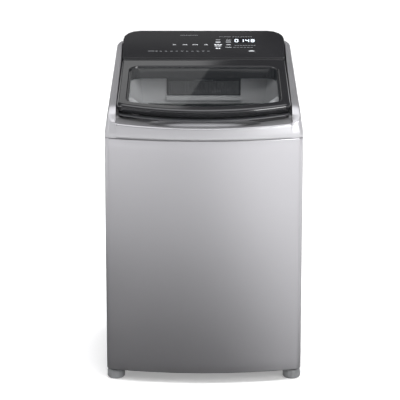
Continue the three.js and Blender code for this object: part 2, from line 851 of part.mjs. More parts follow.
function pushKey({ at, size }) {
  const rim = 1.6;
  const proud = 0.6;
  const cap = solid(prism(roundedRectangle(...size, keyCorner - gap, ...at), -panelThickness - 1, proud, 1));
  const flangeShape = roundedRectangle(size[0] + 2 * rim, size[1] + 2 * rim, keyCorner, ...at);
  const flange = solid(prism(flangeShape, -panelThickness - 3, -panelThickness - gap, 1));
  const stem = solid(prism(roundedRectangle(6, 6, 1, ...at), -boardDepth + buttonTravelRoom, -panelThickness - 2, 1));
  return joined(cap, flange, stem);
}

function displayWindow() {
  const shape = roundedRectangle(...display.size, keyCorner - gap, ...display.at);
  return solid(prism(shape, -panelThickness - 2, 0, 1));
}

function controlBoard() {
  const thickness = 2;
  const shape = roundedRectangle(consoleHalf * 1.6, panelLength - 80, 4, 0, panelLength / 2 - 5);
  return solid(prism(shape, -boardDepth - thickness, -boardDepth, 1));
}

// ---------- Fittings at the rear ----------

const fittingZ = shelfZ + 30;
const inletX = consoleHalf - consoleRadius - 3.4 * spigotRadius;
const glandX = -(consoleHalf - consoleRadius - 4 * glandRadius);
const drainX = halfWidth * 0.62;
const drainZ = cabinetBottom + 130;

function spigotHole() {
  return barY(inletX, rearY - 30, rearY + past, fittingZ, spigotRadius + gap);
}

function glandHole() {
  return barY(glandX, rearY - 30, rearY + past, fittingZ, glandRadius + gap);
}

function inletValve() {
  const bodyRear = consolePlan.rear - wall - gap;
  const coil = block([inletX - 26, inletX + 26], [bodyRear - 60, bodyRear], [shelfZ + 2 * gap, fittingZ + 16]);
  const thread = barY(inletX, bodyRear - past, rearY + spigotReach, fittingZ, spigotRadius);
  const bore = barY(inletX, rearY - past, rearY + spigotReach + past, fittingZ, spigotRadius - 3);
  return cut(joined(coil, thread), bore);
}

function cordGland() {
  const flangeRear = consolePlan.rear - wall - gap;
  const bush = barY(glandX, flangeRear - 2, rearY + 10, fittingZ, glandRadius);
  const flange = barY(glandX, flangeRear - 4, flangeRear, fittingZ, glandRadius + 4);
  const bore = barY(glandX, flangeRear - 4 - past, rearY + 10 + past, fittingZ, glandRadius / 2);
  return cut(joined(bush, flange), bore);
}

function drainElbow() {
  const flangeRear = rearY - 2 * sheet - 2 * gap;
  const pipe = barY(drainX, flangeRear - 30, rearY + spigotReach - 4, drainZ, drainRadius);
  const flange = barY(drainX, flangeRear - 4, flangeRear, drainZ, drainRadius + 7);
  const riser = post(drainX, flangeRear - 22, drainRadius - 3, drainZ, drainZ + 50);
  const bore = barY(drainX, flangeRear - 20, rearY + spigotReach + past, drainZ, drainRadius - 4);
  return cut(joined(pipe, flange, riser), bore);
}

function pressureSensor() {
  const x = -halfWidth * 0.35;
  const y = rearY - consoleDepth / 2;
  const base = shelfZ + 2 * gap;
  return joined(post(x, y, 22, base, base + 14), post(x, y, 4, base + 12, base + 26, 12));
}

// ---------- Tub ----------

function outerTub() {
  const inner = tubRadius - tubWall;
  const shell = turned([
    [spinTube + bearingGap + 8, tubFloor + gap],
    [tubRadius - 30, tubFloor + gap],
    [tubRadius, tubFloor + 24],
    [tubRadius, tubTop],
    [inner, tubTop],
    [inner, tubFloor + 27],
    [inner - 28, tubFloor + gap + tubWall],
    [spinTube + bearingGap + 8, tubFloor + gap + tubWall],
  ], 0, tubY);
  let body = shell;
  for (const [x, y] of Object.values(rodPlaces)) {
    const angle = Math.atan2(y - tubY, x);
    const start = tubRadius - 14;
    const arm = new THREE.BoxGeometry(rodRingRadius - start, 2 * lugRadius * 0.8, lugThickness);
    arm.translate((rodRingRadius + start) / 2, 0, lugBottom + lugThickness / 2 + 10);
    arm.rotateZ(angle).translate(0, tubY, 0);
    body = joined(body, solid(arm), post(x, y, lugRadius, lugBottom + 10, lugBottom + 10 + lugThickness, 16));
  }
  const inside = turned([
    [0, tubFloor + gap + tubWall],
    [inner - 28, tubFloor + gap + tubWall],
    [inner, tubFloor + 27],
    [inner, tubTop + past],
    [0, tubTop + past],
  ], 0, tubY);
  body = cut(body, inside);
  for (const [x, y] of Object.values(rodPlaces)) {
    body = cut(body, post(x, y, rod + 3, tubFloor - past, tubFloor + 80, 12));
  }
  return joined(body, turned([
    [spinTube + bearingGap, tubFloor + gap],
    [spinTube + bearingGap + 10, tubFloor + gap],
    [spinTube + bearingGap + 10, tubFloor + 16],
    [spinTube + bearingGap, tubFloor + 16],
  ], 0, tubY, driveSides));
}

function tubRing() {
  const bottom = tubTop + gap;
  return turned([
    [tubRadius - tubRingReach, bottom],
    [tubRadius + 3, bottom],
    [tubRadius + 3, bottom + tubRingHeight - 4],
    [tubRadius - 6, bottom + tubRingHeight],
    [tubRadius - tubRingReach, bottom + tubRingHeight],
  ], 0, tubY);
}

function basketWallBody() {
  const bottom = basketFloor + 20;
  const top = basketTop - balanceHeight - gap;
  const belly = 6;
  return turned([
    [basketRadius - basketWall - belly, bottom],
    [basketRadius - belly, bottom],
    [basketRadius, bottom + 60],
    [basketRadius, top - 60],
    [basketRadius - belly, top],
    [basketRadius - belly - basketWall, top],
    [basketRadius - basketWall, top - 60],
    [basketRadius - basketWall, bottom + 60],
  ], 0, tubY);
}

function basketBase() {
  const rim = basketRadius - 6;
  return turned([
    [spinTube + gap, basketFloor],
    [rim - 30, basketFloor],
    [rim, basketFloor + 14],
    [rim, basketFloor + 20 - gap],
    [rim - 8, basketFloor + 20 - gap],
    [rim - 36, basketFloor + 8],
    [spinTube + gap, basketFloor + 8],
  ], 0, tubY);
}

function balanceRing() {
  const bottom = basketTop - balanceHeight;
  return turned([
    [basketRadius - balanceWidth, bottom + 8],
    [basketRadius - balanceWidth + 8, bottom],
    [basketRadius - 2, bottom],
    [basketRadius, bottom + 6],
    [basketRadius, basketTop - 8],
    [basketRadius - 6, basketTop],
    [basketRadius - balanceWidth + 10, basketTop],
    [basketRadius - balanceWidth, basketTop - 12],
  ], 0, tubY);
}

function spinTubeBody() {
  const inside = shaft + bearingGap;
  const collar = basketFloor - gap;
  return turned([
    [inside, tubFloor - 40],
    [spinTube, tubFloor - 40],
    [spinTube, collar - 6],
    [spinTube + 26, collar - 6],
    [spinTube + 26, collar],
    [spinTube, collar],
    [spinTube, basketFloor + 12],
    [inside, basketFloor + 12],
  ], 0, tubY, driveSides);
}

// ---------- Agitator ----------

function agitator() {
  const bottom = basketFloor + 22;
  const top = bottom + agitatorHeight;
  const bore = shaft + gap;
  const cone = turned([
    [bore, bottom],
    [agitatorBase, bottom],
    [agitatorBase, bottom + 6],
    [agitatorColumn + 40, bottom + 26],
    [agitatorColumn + 6, bottom + 80],
    [agitatorColumn, top],
    [agitatorColumn - wall, top],
    [agitatorColumn - wall, bottom + 90],
    [bore, bottom + 60],
  ], 0, tubY, tubSides);
  const vaneOutline = new THREE.Shape();
  vaneOutline.moveTo(agitatorColumn - 2, bottom + 3);
  vaneOutline.lineTo(agitatorBase - 6, bottom + 3);
  vaneOutline.quadraticCurveTo(agitatorBase - 40, bottom + 50, agitatorColumn + 16, bottom + 130);
  vaneOutline.lineTo(agitatorColumn - 2, bottom + 180);
  let body = cone;
  const vanes = 4;
  for (let i = 0; i < vanes; i += 1) {
    const vane = prism(vaneOutline, -5, 5, 4).rotateX(Math.PI / 2);
    vane.rotateZ((i / vanes) * Math.PI * 2 + Math.PI / 4).translate(0, tubY, 0);
    body = joined(body, solid(vane));
  }
  return body;
}

function agitatorCap() {
  const top = basketFloor + 22 + agitatorHeight + gap;
  return turned([
    [0, top],
    [agitatorColumn, top],
    [agitatorColumn, top + 12],
    [agitatorColumn - 14, top + 26],
    [0, top + 30],
  ], 0, tubY, tubSides);
}

function driveShaft() {
  const bottom = pulleyLevel - 8;
  const top = basketFloor + 22 + 50;
  return post(0, tubY, shaft, bottom, top, driveSides);
}

function gearcaseBody() {
  const top = tubFloor;
  const tubeRoom = spinTube + bearingGap;
  return turned([
    [shaft + bearingGap, top - gearcaseHeight],
    [gearcase - 14, top - gearcaseHeight],
    [gearcase, top - gearcaseHeight + 14],
    [gearcase, top - 16],
    [gearcase + 26, top - 8],
    [gearcase + 26, top],
    [tubeRoom, top],
    [tubeRoom, top - 42],
    [shaft + bearingGap, top - 42],
  ], 0, tubY, driveSides);
}

// ---------- Drive ----------

// Grooved wheel on an upright shaft. The belt lies in the groove.
function pulley(radius, bore, x, y) {
  const low = pulleyLevel - 4;
  const high = pulleyLevel + beltHeight + 2 * gap;
  return turned([
    [bore, low],
    [radius + 5, low],
    [radius + 5, pulleyLevel - 1],
    [radius, pulleyLevel],
    [radius, high],
    [radius + 5, high + 1],
    [radius + 5, high + 4],
    [bore, high + 4],
  ], x, y, driveSides);
}

// Loop round both wheels: two arcs joined by the straight runs that touch them.
function beltOutline(offset) {
  const lean = Math.asin((drivePulley - motorPulley) / motorDistance);
  const quarter = Math.PI / 2;
  const shape = new THREE.Shape();
  shape.absarc(0, 0, drivePulley + offset, quarter - lean, 3 * quarter + lean);
  shape.absarc(motorDistance, 0, motorPulley + offset, -quarter + lean, quarter - lean);
  return shape;
}

function driveBelt() {
  const bottom = pulleyLevel + gap;
  const outer = solid(prism(beltOutline(beltGap + beltThickness), bottom, bottom + beltHeight, 8));
  const inner = solid(prism(beltOutline(beltGap), bottom - past, bottom + beltHeight + past, 8));
  return cut(outer, inner).translate([0, tubY, 0]);
}

function driveMotor() {
  const bottom = pulleyLevel + beltHeight + 14;
  const top = tubFloor;
  const y = tubY;
  return turned([
    [6 + bearingGap, bottom],
    [motorRadius - 12, bottom],
    [motorRadius, bottom + 12],
    [motorRadius, top - 24],
    [motorRadius - 12, top - 12],
    [motorRadius + 10, top - 8],
    [motorRadius + 10, top],
    [6 + bearingGap, top],
  ], motorDistance, y, driveSides);
}

function motorPulleyBody() {
  const wheel = pulley(motorPulley, 0.001, motorDistance, tubY);
  const axle = post(motorDistance, tubY, 6, pulleyLevel - 4, pulleyLevel + beltHeight + 60);
  return joined(wheel, axle);
}

function drainPump() {
  const x = -motorDistance;
  const y = tubY + 30;
  const body = post(x, y, 34, tubFloor - 60, tubFloor);
  const outlet = barY(x, y, y + 70, tubFloor - 36, 12);
  return joined(body, outlet, post(x, y, 22, tubFloor - 90, tubFloor - 58));
}

// ---------- Suspension ----------

function suspensionRod([x, y]) {
  return turned([
    [0, rodBottom],
    [rodCup, rodBottom],
    [rodCup, rodBottom + 8],
    [rod, rodBottom + 8],
    [rod, rodSeatZ + gap],
    [rodHead, rodSeatZ + gap],
    [rodHead, rodSeatZ + gap + 7],
    [0, rodSeatZ + gap + 9],
  ], x, y, 14);
}

class Helix extends THREE.Curve {
  constructor(radius, bottom, top, turns) {
    super();
    Object.assign(this, { radius, bottom, top, turns });
  }

  getPoint(share, target = new THREE.Vector3()) {
    const angle = share * this.turns * Math.PI * 2;
    const z = THREE.MathUtils.lerp(this.bottom, this.top, share);
    return target.set(this.radius * Math.cos(angle), this.radius * Math.sin(angle), z);
  }
}

function suspensionSpring([x, y]) {
  const bottom = rodBottom + 8 + gap + springWire;
  const top = lugBottom + 10 - gap - springWire;
  const section = new THREE.Shape();
  section.absarc(0, 0, springWire, 0, Math.PI * 2);
  const coil = new THREE.ExtrudeGeometry(section, {
    steps: springTurns * springSteps,
    curveSegments: 2,
    bevelEnabled: false,
    extrudePath: new Helix(springCoil, bottom, top, springTurns),
  });
  return solid(coil.translate(x, y, 0));
}

// ---------- Assembly ----------

const machine = new THREE.Group();

const cabinet = new THREE.Group();
piece("cabinet_shell", cabinetShell(), silverPaint, cabinet);
piece("rear_panel", rearPanel(), galvanised, cabinet);
piece("base_frame", baseFrame(), darkPlastic, cabinet);
piece("top_frame", topFrame(), galvanised, cabinet);
piece("top_cover", topCover(), silverPlastic, cabinet);
piece("well_skirt", wellSkirt(), greyPlastic, cabinet);
piece("dispenser_housing", dispenserHousing(), greyPlastic, cabinet);
piece("lid_hinge_left", lidHinge(-1), darkPlastic, cabinet);
piece("lid_hinge_right", lidHinge(1), darkPlastic, cabinet);
piece("lid_lock", lidLock(), darkPlastic, cabinet);
piece("console_housing", consoleHousing(), silverPlastic, cabinet);
piece("control_panel", controlPanel(), blackGloss, cabinet);
piece("inlet_valve", inletValve(), whitePlastic, cabinet);
piece("cord_gland", cordGland(), blackRubber, cabinet);
piece("drain_elbow", drainElbow(), darkPlastic, cabinet);
piece("pressure_sensor", pressureSensor(), whitePlastic, cabinet);
for (const [corner, place] of Object.entries(rodPlaces)) {
  piece(`suspension_rod_${corner}`, suspensionRod(place), galvanised, cabinet);
}
machine.add(cabinet);

// Everything on the sloped panel is drawn flat and placed by this group.
const consoleFace = new THREE.Group();
consoleFace.position.set(0, consoleFrontY, consoleFrontZ);
consoleFace.rotation.x = consoleTilt;
piece("display_window", displayWindow(), smokedGlass, consoleFace);
piece("control_board", controlBoard(), boardGreen, consoleFace);
for (const [name, key] of Object.entries(keys)) {
  piece(name, pushKey(key), blackGloss, consoleFace);
}
machine.add(consoleFace);

const lid = new THREE.Group();
piece("lid_frame", lidFrame(), blackGloss, lid);
piece("lid_glass", lidGlass(), smokedGlass, lid);
piece("lid_trim", lidTrim(), darkPlastic, lid);
machine.add(lid);

piece("dispenser_drawer", dispenserDrawer(), darkPlastic, machine);

const tub = new THREE.Group();
piece("outer_tub", outerTub(), whitePlastic, tub);
piece("tub_ring", tubRing(), whitePlastic, tub);
piece("gearcase", gearcaseBody(), castAluminium, tub);
piece("drive_motor", driveMotor(), galvanised, tub);
piece("drain_pump", drainPump(), whitePlastic, tub);
piece("drive_belt", driveBelt(), blackRubber, tub);
for (const [corner, place] of Object.entries(rodPlaces)) {
  piece(`suspension_spring_${corner}`, suspensionSpring(place), galvanised, tub);
}
machine.add(tub);

const basket = new THREE.Group();
piece("basket_wall", basketWallBody(), stainless, basket);
piece("basket_base", basketBase(), whitePlastic, basket);
piece("balance_ring", balanceRing(), greyPlastic, basket);
piece("spin_tube", spinTubeBody(), galvanised, basket);
machine.add(basket);

const agitatorGroup = new THREE.Group();
piece("agitator", agitator(), whitePlastic, agitatorGroup);
piece("agitator_cap", agitatorCap(), greyPlastic, agitatorGroup);
piece("drive_shaft", driveShaft(), galvanised, agitatorGroup);
piece("drive_pulley", pulley(drivePulley, shaft + gap, 0, tubY), castAluminium, agitatorGroup);
machine.add(agitatorGroup);

piece("motor_pulley", motorPulleyBody(), castAluminium, machine);

for (const [corner, place] of Object.entries(footPlaces)) {
  piece(`foot_${corner}`, foot(place), footPlastic, machine);
}

export default machine;
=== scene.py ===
# Top load washing machine: visible surfaces, finishes, studio light and camera.
# Every piece is in metres, in the solids' own frame: X right, the front faces -Y, the floor is Z = 0.

import json
import math
import bmesh
import bpy
import numpy as np
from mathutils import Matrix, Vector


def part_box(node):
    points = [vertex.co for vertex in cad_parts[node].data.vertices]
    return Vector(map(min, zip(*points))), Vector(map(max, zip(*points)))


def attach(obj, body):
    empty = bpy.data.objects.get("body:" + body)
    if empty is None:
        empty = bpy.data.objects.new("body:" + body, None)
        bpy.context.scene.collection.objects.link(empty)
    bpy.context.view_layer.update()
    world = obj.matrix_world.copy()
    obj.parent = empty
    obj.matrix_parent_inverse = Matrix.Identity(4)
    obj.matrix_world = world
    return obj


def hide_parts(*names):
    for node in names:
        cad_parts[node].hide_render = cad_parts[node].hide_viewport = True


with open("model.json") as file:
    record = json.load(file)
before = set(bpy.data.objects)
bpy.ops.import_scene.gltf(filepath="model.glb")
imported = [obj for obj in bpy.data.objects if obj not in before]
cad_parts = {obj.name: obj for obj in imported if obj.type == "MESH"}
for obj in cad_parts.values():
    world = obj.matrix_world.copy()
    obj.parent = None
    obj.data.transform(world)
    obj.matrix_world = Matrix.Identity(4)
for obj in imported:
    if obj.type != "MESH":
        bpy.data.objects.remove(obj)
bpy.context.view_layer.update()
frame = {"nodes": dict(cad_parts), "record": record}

record = frame["record"]
scene = bpy.context.scene
bodyOf = {node: body for body, members in record["behaviour"]["bodies"].items() for node in members}
slotOfNode = {row["node"]: row["material_slot"] for row in record["subparts"]}
print("frame loaded:", len(frame["nodes"]), "nodes")


# Places taken from the solids.
shellLow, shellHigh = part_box("cabinet_shell")
coverLow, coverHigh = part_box("top_cover")
lidLow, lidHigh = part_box("lid_frame")
paneLow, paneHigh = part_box("lid_glass")
drawerLow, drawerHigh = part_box("dispenser_drawer")
basketLow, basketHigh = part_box("basket_wall")

halfWidth = shellHigh[0]
frontY = shellLow[1]
rearY = shellHigh[1]
seamZ = shellHigh[2]
tubY = (basketLow[1] + basketHigh[1]) / 2

cabinetShape = {
    "bow": 0.046, "frontRadius": 0.022, "rearRadius": 0.040, "sheet": 0.0012, "hem": 0.004, "flange": 0.016,
}
coverShape = {
    "lean": 0.15, "uprightHeight": 0.014, "fasciaHeight": 0.039, "fasciaSlope": 0.2, "sweepLead": 0.006,
    "sweepLift": 0.014, "bendBack": 0.034, "bendDrop": 0.006, "shoulderBack": 0.060, "shoulderRise": 0.099,
    "railSlope": 0.1625, "rearRadius": 0.064,
}
lidShape = {
    "half": 0.290, "flare": -0.02, "thickness": 0.040, "slope": 0.13, "rake": 0.020, "bow": 0.060,
    "radius": 0.028, "rearRadius": 0.012, "sideBorder": 0.031, "frontBorder": 0.037, "rearBorder": 0.072,
    "windowRadius": 0.036, "windowBow": 0.050, "ledge": 0.007, "ledgeDepths": (0.010, 0.0062),
    "lip": 0.0016, "lipDepth": 0.0058, "rim": 0.010, "rimDrop": 0.009, "faceDrop": 0.022, "faceLean": 0.0005,
    "faceRake": 0.45, "tuck": 0.014, "underInsets": (0.020, 0.026),
    "paneInset": 0.0020, "paneTop": 0.0012, "paneBottom": 0.0050,
}
lidFront, lidRear = lidLow[1], lidHigh[1]
lidLength = lidRear - lidFront
lidRearZ = lidHigh[2]
cornerY = frontY + cabinetShape["bow"]


def smoothStep(value):
    # cubic ease from 0 to 1, flat at both ends
    t = np.clip(value, 0.0, 1.0)
    return t * t * (3.0 - 2.0 * t)


# Loops and grids

def arcPoints(x, y, radius, start, end, count):
    # points at equal angles on a circle
    a = np.linspace(start, end, count)
    return np.stack([x + radius * np.cos(a), y + radius * np.sin(a)], axis=1)


def bowedLoop(half, front, rear, bow, near, far, inset=0.0, counts=(56, 12, 40, 12, 30)):
    # one large arc across the front, corner arcs that touch it and the sides, straight sides, flat rear
    big = (half * half + bow * bow) / (2.0 * bow)
    centreY = front + big
    near, far = max(near - inset, 0.002), max(far - inset, 0.002)
    side, back, big = half - inset, rear - inset, big - inset
    nearY = centreY - math.sqrt((big - near) ** 2 - (side - near) ** 2)
    meet = math.atan2(nearY - centreY, side - near)
    frontCount, cornerCount, sideCount, farCount, rearCount = counts
    run = np.linspace(nearY, back - far, sideCount + 2)[1:-1]
    across = np.linspace(side - far, far - side, rearCount + 2)[1:-1]
    return np.concatenate([
        arcPoints(0.0, centreY, big, -math.pi - meet, meet, frontCount)[:-1],
        arcPoints(side - near, nearY, near, meet, 0.0, cornerCount),
        np.stack([np.full_like(run, side), run], axis=1),
        arcPoints(side - far, back - far, far, 0.0, math.pi / 2, farCount),
        np.stack([across, np.full_like(across, back)], axis=1),
        arcPoints(far - side, back - far, far, math.pi / 2, math.pi, farCount),
        np.stack([np.full_like(run, -side), run[::-1]], axis=1),
        arcPoints(near - side, nearY, near, math.pi, math.pi - meet, cornerCount)[:-1],
    ])


def atAngles(loop, centre, angles):
    # where rays from the centre at the given angles cross a loop
    offset = loop - centre
    angle = np.arctan2(offset[:, 1], offset[:, 0])
    order = np.argsort(angle)
    angle, radius = angle[order], np.hypot(offset[:, 0], offset[:, 1])[order]
    angle = np.concatenate([angle[-1:] - 2 * math.pi, angle, angle[:1] + 2 * math.pi])
    radius = np.concatenate([radius[-1:], radius, radius[:1]])
    reach = np.interp(angles, angle, radius)
    return centre + np.stack([np.cos(angles), np.sin(angles)], axis=1) * reach[:, None]


def outward(loop):
    # unit normals of a counter-clockwise loop, from the chord between its neighbours
    chord = np.roll(loop, -1, axis=0) - np.roll(loop, 1, axis=0)
    normal = np.stack([chord[:, 1], -chord[:, 0]], axis=1)
    return normal / np.linalg.norm(normal, axis=1)[:, None]


def quadsOf(rows, columns, closeRows, closeColumns):
    # corner numbers of every cell of a rows x columns grid
    r = np.arange(rows if closeRows else rows - 1)
    c = np.arange(columns if closeColumns else columns - 1)
    a, b = np.meshgrid(r, c, indexing="ij")
    a2, b2 = (a + 1) % rows, (b + 1) % columns
    cells = np.stack([a * columns + b, a2 * columns + b, a2 * columns + b2, a * columns + b2], axis=-1)
    return cells.reshape(-1, 4)


def pieceFrom(name, vertices, faces, material, body, slot, stands=(), sharp=35.0):
    # puts arrays into a mesh, welds doubles, turns faces outwards and hangs the piece on its body's empty
    mesh = bpy.data.meshes.new(name)
    mesh.from_pydata(vertices.reshape(-1, 3).tolist(), [], [list(f) for f in faces])
    bm = bmesh.new()
    bm.from_mesh(mesh)
    bmesh.ops.remove_doubles(bm, verts=bm.verts, dist=2e-6)
    bmesh.ops.dissolve_degenerate(bm, edges=bm.edges, dist=1e-7)
    bmesh.ops.recalc_face_normals(bm, faces=bm.faces)
    bm.to_mesh(mesh)
    bm.free()
    mesh.shade_smooth()
    mesh.set_sharp_from_angle(angle=math.radians(sharp))
    mesh.materials.append(material)
    piece = bpy.data.objects.new(name, mesh)
    scene.collection.objects.link(piece)
    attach(piece, body)
    if stands:
        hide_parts(*stands)
    return piece


def gridPiece(name, points, material, body, slot, closed=(True, True), caps=False, **more):
    # points is rows x columns x 3; caps closes the first and last row with one face each
    rows, columns = points.shape[:2]
    faces = quadsOf(rows, columns, *closed).tolist()
    if caps:
        faces.append(list(range(columns))[::-1])
        faces.append(list(range((rows - 1) * columns, rows * columns)))
    return pieceFrom(name, points, faces, material, body, slot, **more)


def turnedPoints(profile, y, count):
    # a profile of (radius, height) pairs turned about an upright axis at x = 0
    a = np.linspace(0.0, 2 * math.pi, count, endpoint=False)[:, None]
    radius, height = profile[None, :, 0], profile[None, :, 1]
    return np.stack(np.broadcast_arrays(radius * np.cos(a), y + radius * np.sin(a), height), axis=-1)


def rounded(profile, radius, parts=4):
    # each corner of a closed outline becomes a short quadratic curve that starts and ends a radius away
    p = np.asarray(profile, float)
    before, after = np.roll(p, 1, axis=0), np.roll(p, -1, axis=0)
    toBefore, toAfter = before - p, after - p
    lengthBefore = np.linalg.norm(toBefore, axis=1)[:, None]
    lengthAfter = np.linalg.norm(toAfter, axis=1)[:, None]
    start = p + toBefore / lengthBefore * np.minimum(radius, lengthBefore * 0.45)
    end = p + toAfter / lengthAfter * np.minimum(radius, lengthAfter * 0.45)
    t = np.linspace(0.0, 1.0, parts + 1)[None, :, None]
    curve = (1 - t) ** 2 * start[:, None] + 2 * t * (1 - t) * p[:, None] + t * t * end[:, None]
    return curve.reshape(-1, 2)


# Finishes

def addNode(tree, kind, inputs, **settings):
    # adds a shader node; each named input takes a constant or the socket that feeds it
    node = tree.nodes.new("ShaderNode" + kind)
    for setting, value in settings.items():
        setattr(node, setting, value)
    for name, value in inputs.items():
        if isinstance(value, bpy.types.NodeSocket):
            tree.links.new(value, node.inputs[name])
        else:
            node.inputs[name].default_value = value
    return node


def objectPlace(tree):
    return tree.nodes.new("ShaderNodeTexCoord").outputs["Object"]


def makeFinish(name, colour, roughness, metallic=0.0, spread=0.04, roughSpread=0.06, grain=900.0, bump=0.04,
               patch=9.0, stretch=(1.0, 1.0, 1.0), coat=0.0):
    # soft patches of tone, patches of roughness, and a fine bumped grain, all on Object coordinates
    material = bpy.data.materials.new(name)
    material.use_nodes = True
    tree = material.node_tree
    shader = tree.nodes["Principled BSDF"]
    shader.inputs["Metallic"].default_value = metallic
    shader.inputs["Coat Weight"].default_value = coat
    shader.inputs["Coat Roughness"].default_value = 0.08
    place = addNode(tree, "Mapping", {"Vector": objectPlace(tree), "Scale": stretch}).outputs["Vector"]
    patches = addNode(tree, "TexNoise", {"Vector": place, "Scale": patch, "Detail": 4.0}).outputs["Fac"]
    fine = addNode(tree, "TexNoise", {"Vector": place, "Scale": grain, "Detail": 3.0}).outputs["Fac"]
    dark = (*[c * (1 - spread) for c in colour], 1.0)
    light = (*[min(c * (1 + spread), 1.0) for c in colour], 1.0)
    tone = addNode(tree, "Mix", {"A": dark, "B": light, "Factor": patches}, data_type="RGBA")
    gloss = addNode(tree, "MapRange", {
        "Value": patches, "From Min": 0.3, "From Max": 0.7,
        "To Min": max(roughness - roughSpread, 0.01), "To Max": roughness + roughSpread})
    relief = addNode(tree, "Bump", {"Height": fine, "Strength": bump, "Distance": 0.0005})
    tree.links.new(tone.outputs["Result"], shader.inputs["Base Color"])
    tree.links.new(gloss.outputs["Result"], shader.inputs["Roughness"])
    tree.links.new(relief.outputs["Normal"], shader.inputs["Normal"])
    return material


def lightUp(material, colour, strength):
    # gives a material's shader its own light
    shader = material.node_tree.nodes["Principled BSDF"]
    shader.inputs["Emission Color"].default_value = (*colour, 1.0)
    shader.inputs["Emission Strength"].default_value = strength
    return material


def makeGlass():
    # clear smoked pane with faint smears in its polish: a dark thin film the eye sees through
    material = makeFinish("smokedPane", (0.012, 0.014, 0.016), 0.02, spread=0.2, roughSpread=0.01, bump=0.0,
                          patch=5.0)
    shader = material.node_tree.nodes["Principled BSDF"]
    shader.inputs["Alpha"].default_value = 0.26
    shader.inputs["IOR"].default_value = 1.75
    material.surface_render_method = "BLENDED"
    return material


def makeGlow(name, colour, strength):
    # lit segments, a little uneven like diodes behind a lens; on print and studs this light is a faint
    # painted glow
    return lightUp(makeFinish(name, colour, 0.4, spread=0.08, bump=0.0, patch=400.0), colour, strength)


def calcIn(tree):
    # returns a function that adds one Math node and gives back its output
    def calc(operation, first, second=None, third=None):
        node = tree.nodes.new("ShaderNodeMath")
        node.operation = operation
        for socket, value in zip(node.inputs, (first, second, third)):
            if isinstance(value, (int, float)):
                socket.default_value = value
            elif value is not None:
                tree.links.new(value, socket)
        return node.outputs["Value"]
    return calc


perforation = {"columnsPerRadian": 90.0 / math.pi, "rowHeight": 0.016, "holeFrom": 0.15, "holeTo": 0.21}


def makePerforated():
    # brushed stainless sheet with rows of round holes, worked out from the angle and the height; the holes
    # are painted near-black, painted shade for the dark gap behind the wall
    material = makeFinish("perforatedSteel", (0.62, 0.63, 0.64), 0.24, metallic=1.0, grain=300.0, bump=0.08,
                          stretch=(1.0, 1.0, 12.0))
    tree = material.node_tree
    base = tree.nodes["Principled BSDF"].inputs["Base Color"]
    at = addNode(tree, "SeparateXYZ", {"Vector": objectPlace(tree)}).outputs
    calc = calcIn(tree)
    angle = calc("ARCTAN2", calc("SUBTRACT", at["Y"], tubY), at["X"])
    column = calc("MULTIPLY", angle, perforation["columnsPerRadian"])
    row = calc("MULTIPLY", at["Z"], 1.0 / perforation["rowHeight"])
    shift = calc("MULTIPLY", calc("FLOORED_MODULO", calc("FLOOR", row), 2.0), 0.5)
    across = calc("SUBTRACT", calc("FRACT", calc("ADD", column, shift)), 0.5)
    up = calc("SUBTRACT", calc("FRACT", row), 0.5)
    away = calc("SQRT", calc("ADD", calc("MULTIPLY", across, across), calc("MULTIPLY", up, up)))
    hole = addNode(tree, "MapRange", {"Value": away, "From Min": perforation["holeFrom"],
                                      "From Max": perforation["holeTo"]}, interpolation_type="SMOOTHSTEP")
    steel = base.links[0].from_socket
    # painted shade: each hole is near-black, standing in for the shade seen through it
    dark = addNode(tree, "Mix", {"A": (0.02, 0.02, 0.022, 1.0), "B": steel, "Factor": hole.outputs["Result"]},
                   data_type="RGBA")
    tree.links.new(dark.outputs["Result"], base)
    return material


# Colour, roughness and the rest of each plain finish.
plainFinishes = {
    "silverPaint": ((0.475, 0.47, 0.49), 0.33, dict(metallic=0.9, spread=0.015, roughSpread=0.02,
                                                    grain=2600.0, bump=0.05, patch=3.0, coat=0.25)),
    "silverMoulding": ((0.475, 0.472, 0.488), 0.38, dict(metallic=0.8, spread=0.02, roughSpread=0.03,
                                                         grain=2200.0, bump=0.05, patch=6.0, coat=0.3)),
    "blackGloss": ((0.016, 0.016, 0.0175), 0.10, dict(spread=0.2, roughSpread=0.025, grain=500.0,
                                                      bump=0.01, patch=7.0, coat=0.5)),
    "keyBlack": ((0.022, 0.022, 0.024), 0.22, dict(spread=0.2, grain=1500.0, bump=0.03)),
    "consoleMatte": ((0.035, 0.035, 0.037), 0.5, dict(grain=1600.0, bump=0.25)),
    "lens": ((0.008, 0.008, 0.010), 0.05, dict(spread=0.3, roughSpread=0.02, bump=0.0)),
    "linerGrey": ((0.74, 0.75, 0.765), 0.38, dict(grain=1400.0, bump=0.12)),
    "ringGrey": ((0.30, 0.31, 0.32), 0.36, dict(grain=1400.0, bump=0.1)),
    "darkPlastic": ((0.045, 0.046, 0.05), 0.42, dict(grain=1300.0, bump=0.2)),
    "whitePlastic": ((0.72, 0.73, 0.72), 0.38, dict(grain=1200.0, bump=0.1, spread=0.03)),
    "galvanised": ((0.50, 0.52, 0.54), 0.42, dict(metallic=0.9, spread=0.16, roughSpread=0.10,
                                                  patch=60.0, grain=700.0, bump=0.06)),
    "springSteel": ((0.35, 0.36, 0.38), 0.35, dict(metallic=1.0, patch=90.0, bump=0.05)),
    "castMetal": ((0.50, 0.51, 0.52), 0.52, dict(metallic=0.85, grain=380.0, bump=0.5)),
    "rubber": ((0.02, 0.02, 0.021), 0.72, dict(grain=1100.0, bump=0.3, spread=0.15)),
    "footPlastic": ((0.20, 0.205, 0.21), 0.42, dict(grain=1000.0, bump=0.25, spread=0.08)),
    "boardGreen": ((0.02, 0.12, 0.05), 0.4, dict(patch=70.0, spread=0.3)),
    "ribPlastic": ((0.13, 0.132, 0.137), 0.30, dict(spread=0.12, grain=1300.0, bump=0.1)),
}
finishes = {name: makeFinish(name, colour, roughness, **more)
            for name, (colour, roughness, more) in plainFinishes.items()}
finishes["smokedPane"] = makeGlass()
finishes["perforated"] = makePerforated()
